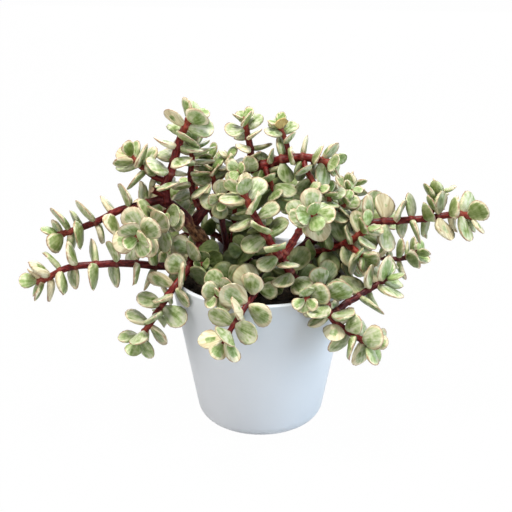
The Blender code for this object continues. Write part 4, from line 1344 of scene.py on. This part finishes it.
cream = ramp(tree, streaks, [
    (0.35, 0.46, 0.375, 0.22), (0.5, 0.60, 0.52, 0.34), (0.65, 0.69, 0.63, 0.45)])
halo = mixed(tree, soft_step(tree, margin, 0.67, 0.80), green, PALE_GREEN)
colour = mixed(tree, soft_step(tree, margin, 0.775, 0.805), halo, cream)
rim_line = calc(tree, "MULTIPLY", soft_step(tree, rim_distance, 0.895, 0.97),
                soft_step(tree, blotches, 0.34, 0.52))
colour = mixed(tree, calc(tree, "MULTIPLY", rim_line, RIM_DEPTH), colour, PINK_BROWN)
print("edge and rim added")

# %% Age, shade and paint the leaves
PAINTED_SHADE_DEPTH = 0.88

yellowing = ramp(tree, streaks, [(0.35, 0.42, 0.27, 0.09), (0.65, 0.64, 0.47, 0.21)])
colour = mixed(tree, soft_step(tree, age, 1.4, 1.6), colour, yellowing)
# Leaves deep in the crown are mixed towards a dark green: this is painted shade.
painted_shade_green = ramp(tree, greens, [(0.36, 0.034, 0.057, 0.006), (0.66, 0.13, 0.17, 0.036)])
colour = mixed(tree, calc(tree, "MULTIPLY", crown_painted_shade, PAINTED_SHADE_DEPTH), colour, painted_shade_green)
dullness = calc(tree, "MULTIPLY_ADD", blotches, 0.3, 0.27)
paint(tree, shader, colour, dullness)
bump(tree, shader, streaks, strength=0.12, distance=0.6 * MM)
print("leaves painted")

# %% [markdown]
# ## Stems
# A young stem is a smooth red rod with a slightly swollen, paler ring wherever a pair of leaves
# grows or grew. It could be drawn as a curve with a round bevel, but the rings need their own
# stations. So a stem is modelled straight, as on a lathe: a disc is extruded up through its
# stations, and a Curve modifier then bends it along its route. Before it bends, each corner
# keeps its straight place as an attribute, so that the bark's pattern runs along the stem.

# %% Bend a stem
def bend_along(piece, stem):
    """Bends a straight piece that stands on the origin along a stem's route."""
    route = bpy.data.curves.new("route", "CURVE")
    route.dimensions = "3D"
    line = route.splines.new("POLY")
    line.points.add(len(stem.curve) - 1)
    for point, place in zip(line.points, stem.curve):
        point.co = (*place, 1)
    guide = bpy.data.objects.new("route", route)
    scene.collection.objects.link(guide)
    bent = piece.modifiers.new("along_route", "CURVE")
    bent.object = guide
    bent.deform_axis = "POS_Z"
    apply_all(piece)
    bpy.data.objects.remove(guide)
    bpy.data.curves.remove(route)


print("bending ready")

# %% Lathe a stem
RING_FADE = 1.3 * MM


def keep_straight_place(piece, rings, length):
    """Stores each corner's straight place, its age from tip to root, and how near a ring it is.

    Age counts millimetres from the tip, and length is where it is zero.
    """
    mesh = piece.data
    kinds = {"straight_place": "FLOAT_VECTOR", "bark_age": "FLOAT", "near_ring": "FLOAT"}
    for name, kind in kinds.items():
        mesh.attributes.new(name, kind, "POINT")
    straight, old, ringed = (mesh.attributes[name] for name in kinds)
    for corner in mesh.vertices:
        straight.data[corner.index].vector = corner.co / MM
        old.data[corner.index].value = (length - corner.co.z) / MM
        near = min((abs(corner.co.z - ring) for ring in rings), default=1.0)
        ringed.data[corner.index].value = max(0.0, 1 - near / RING_FADE)


def lathe_stem(name, sides, stations):
    """A closed rod through stations of (radius, distance along the stem)."""
    first_radius, first_place = stations[0]
    deselect()
    bpy.ops.mesh.primitive_circle_add(vertices=sides, radius=first_radius, fill_type="NGON")
    rod = bpy.context.object
    rod.name = name
    start_editing(rod)
    bpy.ops.mesh.select_all(action="SELECT")
    bpy.ops.transform.translate(value=(0, 0, first_place))
    climb(stations[1:], first_radius, first_place)
    close_piece()
    return rod


def rounded_end(stem, shares):
    """Closing stations, from (share of the tip's radius, millimetres past the stem's end)."""
    return [(stem.radii[1] * share, stem.length + past * MM) for share, past in shares]


# How much older than its length a stem's bark looks, in millimetres of growth.
EXTRA_AGE = {
    "left_limb": 0, "right_limb": 110, "dark_limb": 110, "right_lower": 75, "dark_shoot": 70,
    "right_back_twig": 75, "front_right_hanging": 20, "front_centre_hanging": 30,
    "front_left_rosette": 60, "inner_middle": 60, "inner_right": 60, "inner_left_rosette": 60,
}
print("stem helpers ready")

# %% [markdown]
# ## The shoots' stems
# On a real shoot the rings sit where the leaf pairs sit. Below the leafy part they go on as scars
# of leaves that fell, a little further apart. A ring could be a torus round the stem, but it is
# part of the skin, so it is made of stations that are a little wider than the next ones. Where a
# stem leaves a limb it flares into a collar, and at its end it closes to a rounded tip.

# %% Set out a stem's rings
COLLAR = 3.5 * MM
COLLAR_FLARE = 0.35
BARE_END = 6 * MM
SCAR_SPACING = 1.1
RING_SWELL = 1.17
BETWEEN_RINGS = 0.97
RING_HALF = 0.5 * MM
RING_ZONE = 0.6 * MM
RING_REACH = 1.5 * MM
TIP_ZONE = 0.6 * MM
LONGEST_PIECE = 2.5 * MM
SHORTEST_PIECE = 0.3 * MM
TWIG_END = [(0.85, -0.1), (0.5, 0.35), (0.12, 0.5)]


def ring_places(shoot, stem):
    """Distances along the stem of its leaf rings and scars."""
    places = sorted({place[0] for place in leaf_places(shoot, stem, 0)})
    back = places[0] - shoot.space if places else stem.length - BARE_END
    while back > COLLAR:
        places.insert(0, back)
        back -= shoot.space * SCAR_SPACING
    return places


def stem_stations(stem, rings):
    """(radius, distance) pairs that swell at each ring and are never far apart."""
    stations = []
    stops = {0.0}
    for ring in rings:
        stops |= {ring - RING_REACH, ring - RING_HALF, ring + RING_HALF, ring + RING_REACH}
    stops = sorted(stop for stop in stops if 0 <= stop < stem.length - TIP_ZONE)
    filled = []
    for stop, following in zip(stops, [*stops[1:], stem.length]):
        pieces = max(1, math.ceil((following - stop) / LONGEST_PIECE))
        filled += [stop + (following - stop) * k / pieces for k in range(pieces)]
    for stop in filled:
        if stations and stop - stations[-1][1] < SHORTEST_PIECE:
            continue
        radius = stem.at(stop)[3]
        near = min((abs(stop - ring) for ring in rings), default=1.0)
        radius *= RING_SWELL if near < RING_ZONE else BETWEEN_RINGS
        if stop < COLLAR:
            radius *= 1 + COLLAR_FLARE * (1 - stop / COLLAR) ** 2
        stations.append((radius, stop))
    return stations + rounded_end(stem, TWIG_END)


print("the first shoot has", len(ring_places(SHOOTS[0], first)), "rings")

# %% Model the shoots' stems
TWIG_SIDES = 10

twigs = {}
for shoot in SHOOTS:
    if shoot.name == "cut_stub":
        continue
    stem = stems[shoot.name]
    rings = ring_places(shoot, stem)
    twig = lathe_stem(shoot.name + "_twig", TWIG_SIDES, stem_stations(stem, rings))
    keep_straight_place(twig, rings, stem.length + EXTRA_AGE.get(shoot.name, 0) * MM)
    bend_along(twig, stem)
    bpy.ops.object.shade_smooth()
    twigs[shoot.name] = twig
print(len(twigs), "stems,", sum(len(twig.data.polygons) for twig in twigs.values()), "faces")

# %% [markdown]
# ## The cut stub
# One side shoot was pruned. What is left is a short stub with a pale, slightly hollow cut face
# and a dry rim. A cylinder with an inset end would do, but the lathe takes any outline, so the
# rim and the hollow are just its last stations. The faces inside the rim take a second finish,
# because cut wood is paler than skin.

# %% Model the cut stub
STUB_SIDES = 12
STUB_AGE = 60 * MM
STUB_ANGLE = 50
STUB_FACE = 0.9
STUB_DEPTH = 0.6 * MM
# Stations of (share of the radius, millimetres), from the root up and then short of the end.
STUB_FOOT = [(1.5, 0), (1.15, 2), (1, 4)]
STUB_CUT = [(0.97, 1.5), (1.08, 0.7), (1.08, 0.15), (0.92, 0), (0.75, 0.35), (0.2, 0.45)]

stub_stem = stems["cut_stub"]
stub_radius = stub_stem.radii[1]
stub_end = stub_stem.length
stations = [(stub_radius * share, up * MM) for share, up in STUB_FOOT]
stations += [(stub_radius * share, stub_end - back * MM) for share, back in STUB_CUT]
stub = lathe_stem("cut_stub_wood", STUB_SIDES, stations)
keep_straight_place(stub, [], stub_end + STUB_AGE)
# Two empty places for finishes: the skin's is filled in later, and so is the cut face's.
stub.data.materials.append(None)
stub.data.materials.append(None)
for face in stub.data.polygons:
    inner = math.hypot(face.center.x, face.center.y) < stub_radius * STUB_FACE
    face.material_index = int(inner and face.center.z > stub_end - STUB_DEPTH)
bend_along(stub, stub_stem)
smooth_all_but(stub, STUB_ANGLE)
twigs["cut_stub"] = stub
print("cut stub", round(stub_radius * 2 / MM, 1), "mm thick")

# %% [markdown]
# ## The woody limbs
# The oldest wood is brown and lumpy, thicker at its foot, with shallow cracks that run along it.
# It could be sculpted lump by lump, but no single lump matters. So a limb is lathed and bent as a
# stem is, with more corners and stations of uneven radius, and two Displace modifiers then raise
# lumps all over it.

# %% Model the limbs
LIMB_CORNERS = 20
LIMB_STEP = 2.2 * MM
LIMB_TIP_ZONE = 1.5 * MM
UNEVEN = (0.93, 1.04)
LIMB_END = [(0.92, -1), (0.6, 0.3), (0.15, 0.8)]
LIMB_AGE = 45
LIMB_LEVEL = 0.55
LIMB_SEED = 100

limbs = {}
for seed, shoot in enumerate(LIMBS):
    draw = random.Random(LIMB_SEED + seed)
    stem = stems[shoot.name]
    stations = []
    place = 0.0
    while place < stem.length - LIMB_TIP_ZONE:
        stations.append((stem.at(place)[3] * draw.uniform(*UNEVEN), place))
        place += LIMB_STEP
    stations += rounded_end(stem, LIMB_END)
    limb = lathe_stem(shoot.name + "_wood", LIMB_CORNERS, stations)
    keep_straight_place(limb, [], stem.length + EXTRA_AGE.get(shoot.name, LIMB_AGE) * MM)
    bend_along(limb, stem)
    add_lumps(limb, "lumps", 9 * MM, 1.0 * MM, LIMB_LEVEL)
    add_lumps(limb, "cracks", 2.5 * MM, 0.5 * MM, LIMB_LEVEL)
    apply_all(limb)
    bpy.ops.object.shade_smooth()
    limbs[shoot.name] = limb
print(len(limbs), "limbs")

# %% [markdown]
# ## The finishes of bark and stems
# Old wood is brown, with dark cracks and pale ridges. A young stem is satin red, bright at its
# tip, darker with age and paler on its rings. A finish for each age would show where it ends. So
# a noise stretched along the straight stem gives cracks and grain, and each corner's age mixes
# one ramp of colours into the next, which changes a stem smoothly from tip to root. Cut wood is
# pale, with fine fibres.

# %% Paint the bark
bark, tree, shader = new_finish("brown_bark", roughness=0.75, specular=0.3)
along = attribute(tree, "straight_place", "Vector")
drawn_out = stretched(tree, along, 1.0, 1.0, 0.5)
fissures = noise(tree, drawn_out, scale=0.4, detail=5.0, roughness=0.6)
patches = noise(tree, along, scale=0.12)
wood = ramp(tree, fissures, [
    (0.37, 0.050, 0.018, 0.010), (0.46, 0.16, 0.062, 0.028), (0.55, 0.29, 0.130, 0.058),
    (0.66, 0.48, 0.28, 0.15)])
red = ramp(tree, fissures, [
    (0.36, 0.020, 0.004, 0.006), (0.5, 0.075, 0.010, 0.014), (0.64, 0.16, 0.035, 0.030)])
browning = calc(tree, "MULTIPLY_ADD", patches, -25.0, attribute(tree, "bark_age"))
colour = mixed(tree, soft_step(tree, browning, 4.0, 16.0), red, wood)
paint(tree, shader, colour)
bump(tree, shader, fissures, strength=0.7, distance=1.2 * MM)
print("bark ready")

# %% Paint the red stems
RING_RED = (0.25, 0.085, 0.06, 1)

red_stem, tree, shader = new_finish("red_stem", roughness=0.4, specular=0.15)
along = attribute(tree, "straight_place", "Vector")
old = attribute(tree, "bark_age")
ringed = attribute(tree, "near_ring")
drawn_out = stretched(tree, along, 1.0, 1.0, 0.3)
grain = noise(tree, drawn_out, scale=0.9, detail=4.0, roughness=0.6)
patches = noise(tree, object_place(tree), scale=90.0)
red = ramp(tree, grain, [
    (0.36, 0.045, 0.003, 0.003), (0.5, 0.11, 0.007, 0.008), (0.64, 0.21, 0.028, 0.019)])
tip_red = ramp(tree, grain, [(0.35, 0.15, 0.014, 0.011), (0.65, 0.29, 0.060, 0.036)])
dark = ramp(tree, grain, [
    (0.34, 0.022, 0.004, 0.005), (0.5, 0.060, 0.007, 0.009), (0.66, 0.13, 0.022, 0.020)])
colour = mixed(tree, soft_step(tree, old, 22.0, 4.0), red, tip_red)
ageing = calc(tree, "MULTIPLY_ADD", patches, 60.0, old)
colour = mixed(tree, soft_step(tree, ageing, 65.0, 125.0), colour, dark)
paler_ring = calc(tree, "MULTIPLY", ringed, soft_step(tree, patches, 0.35, 0.65))
colour = mixed(tree, paler_ring, colour, RING_RED)
paint(tree, shader, colour, calc(tree, "MULTIPLY_ADD", grain, 0.4, 0.2))
bump(tree, shader, grain, strength=0.35, distance=0.6 * MM)
print("red stems painted")

# %% Paint the cut face
cut_wood, tree, shader = new_finish("pale_cut_wood", roughness=0.8, specular=0.2)
fibres = noise(tree, object_place(tree), scale=900.0)
paint(tree, shader, ramp(tree, fibres, [(0.35, 0.22, 0.13, 0.08), (0.65, 0.55, 0.42, 0.29)]))
print("cut face painted")

# %% [markdown]
# ## Joining each shoot
# Hundreds of leaves would make hundreds of pieces, and linked copies couldn't carry numbers of
# their own. So each leaf place takes a copy of a leaf form with its own mesh, and the leaves of
# one shoot are joined with its stem into one piece, which stands for the shoot's CAD node.

# %% Grow a leaf
HEART = Vector((6, 12, 122)) * MM
HEART_RADIUS = 54 * MM
HEART_FADE = 28 * MM
PLUMP_LENGTH = 14 * MM
PLUMPNESS = (0.95, 1.5)
PLUMP_DRIFT = (0.9, 1.15)
WIDTH_DRIFT = (0.94, 1.06)
PALENESS = 0.12
ALL_CREAM_SHARE = 0.07
ALL_CREAM = 0.5


def number_on(mesh, name, value):
    """Gives every corner of a mesh the same number."""
    made = mesh.attributes.new(name, "FLOAT", "POINT")
    made.data.foreach_set("value", [value] * len(mesh.vertices))


def painted_shade_at(place):
    """The painted shade of a leaf: 1 in the dense heart of the crown, falling to 0 out in the
    light.
    """
    out = ((place - HEART).length - HEART_RADIUS) / HEART_FADE
    return 1 - max(0.0, min(1.0, out))


def grow_leaf(matrix, length, age, draw):
    """A copy of one of the leaf forms at its place, with its own pattern numbers."""
    form = draw.choice(forms)
    mesh = form.data.copy()
    wide = draw.uniform(*WIDTH_DRIFT)
    # A short leaf is plumper for its length than a long one.
    least, most = PLUMPNESS
    plump = max(least, min(most, PLUMP_LENGTH / length)) * draw.uniform(*PLUMP_DRIFT)
    mesh.transform(matrix @ Matrix.Diagonal((length, length * wide, length * plump, 1)))
    number_on(mesh, "leaf_seed", draw.random())
    number_on(mesh, "leaf_age", age)
    # How deep the leaf stands in the crown sets how much painted shade it takes.
    number_on(mesh, "leaf_shade", painted_shade_at(matrix @ Vector((length, 0, 0))))
    paleness = draw.gauss(0, PALENESS)
    if draw.random() < ALL_CREAM_SHARE:
        paleness += ALL_CREAM
    number_on(mesh, "leaf_cream", paleness)
    leaf = bpy.data.objects.new("leaf", mesh)
    scene.collection.objects.link(leaf)
    use_finish(leaf, leaf_skin)
    return leaf


print("shade in the crown's heart:", painted_shade_at(HEART))

# %% Grow and join the shoots
OCHRE_LEAF = ("centre_right_twig", 3)
OCHRE_AGE = 2
PAIRS_TO_GROW = 3
LEAF_SEED = 500

for seed, shoot in enumerate(SHOOTS):
    draw = random.Random(LEAF_SEED + seed)
    twig = twigs[shoot.name]
    if shoot.name == "cut_stub":
        twig.data.materials[0] = red_stem
        twig.data.materials[1] = cut_wood
        place_on_root(twig, "shoots", shoot.name)
        continue
    use_finish(twig, red_stem)
    grown = []
    for count, (matrix, length, pair) in enumerate(leaves[shoot.name]):
        age = min(1.0, pair / PAIRS_TO_GROW)
        if (shoot.name, count) == OCHRE_LEAF:
            age = OCHRE_AGE
        grown.append(grow_leaf(matrix, length, age, draw))
    select_only(twig, *grown)
    bpy.ops.object.join()
    twig.name = shoot.name + "_with_leaves"
    place_on_root(twig, "shoots", shoot.name)
for form in forms:
    bpy.data.objects.remove(form)
print(sum(len(found) for found in leaves.values()), "leaves joined to their stems")

# %% Finish the limbs
BROWN_LIMBS = ("left_limb", "back_left_limb", "back_limb")

for shoot in LIMBS:
    use_finish(limbs[shoot.name], bark if shoot.name in BROWN_LIMBS else red_stem)
    place_on_root(limbs[shoot.name], "bark", shoot.name)
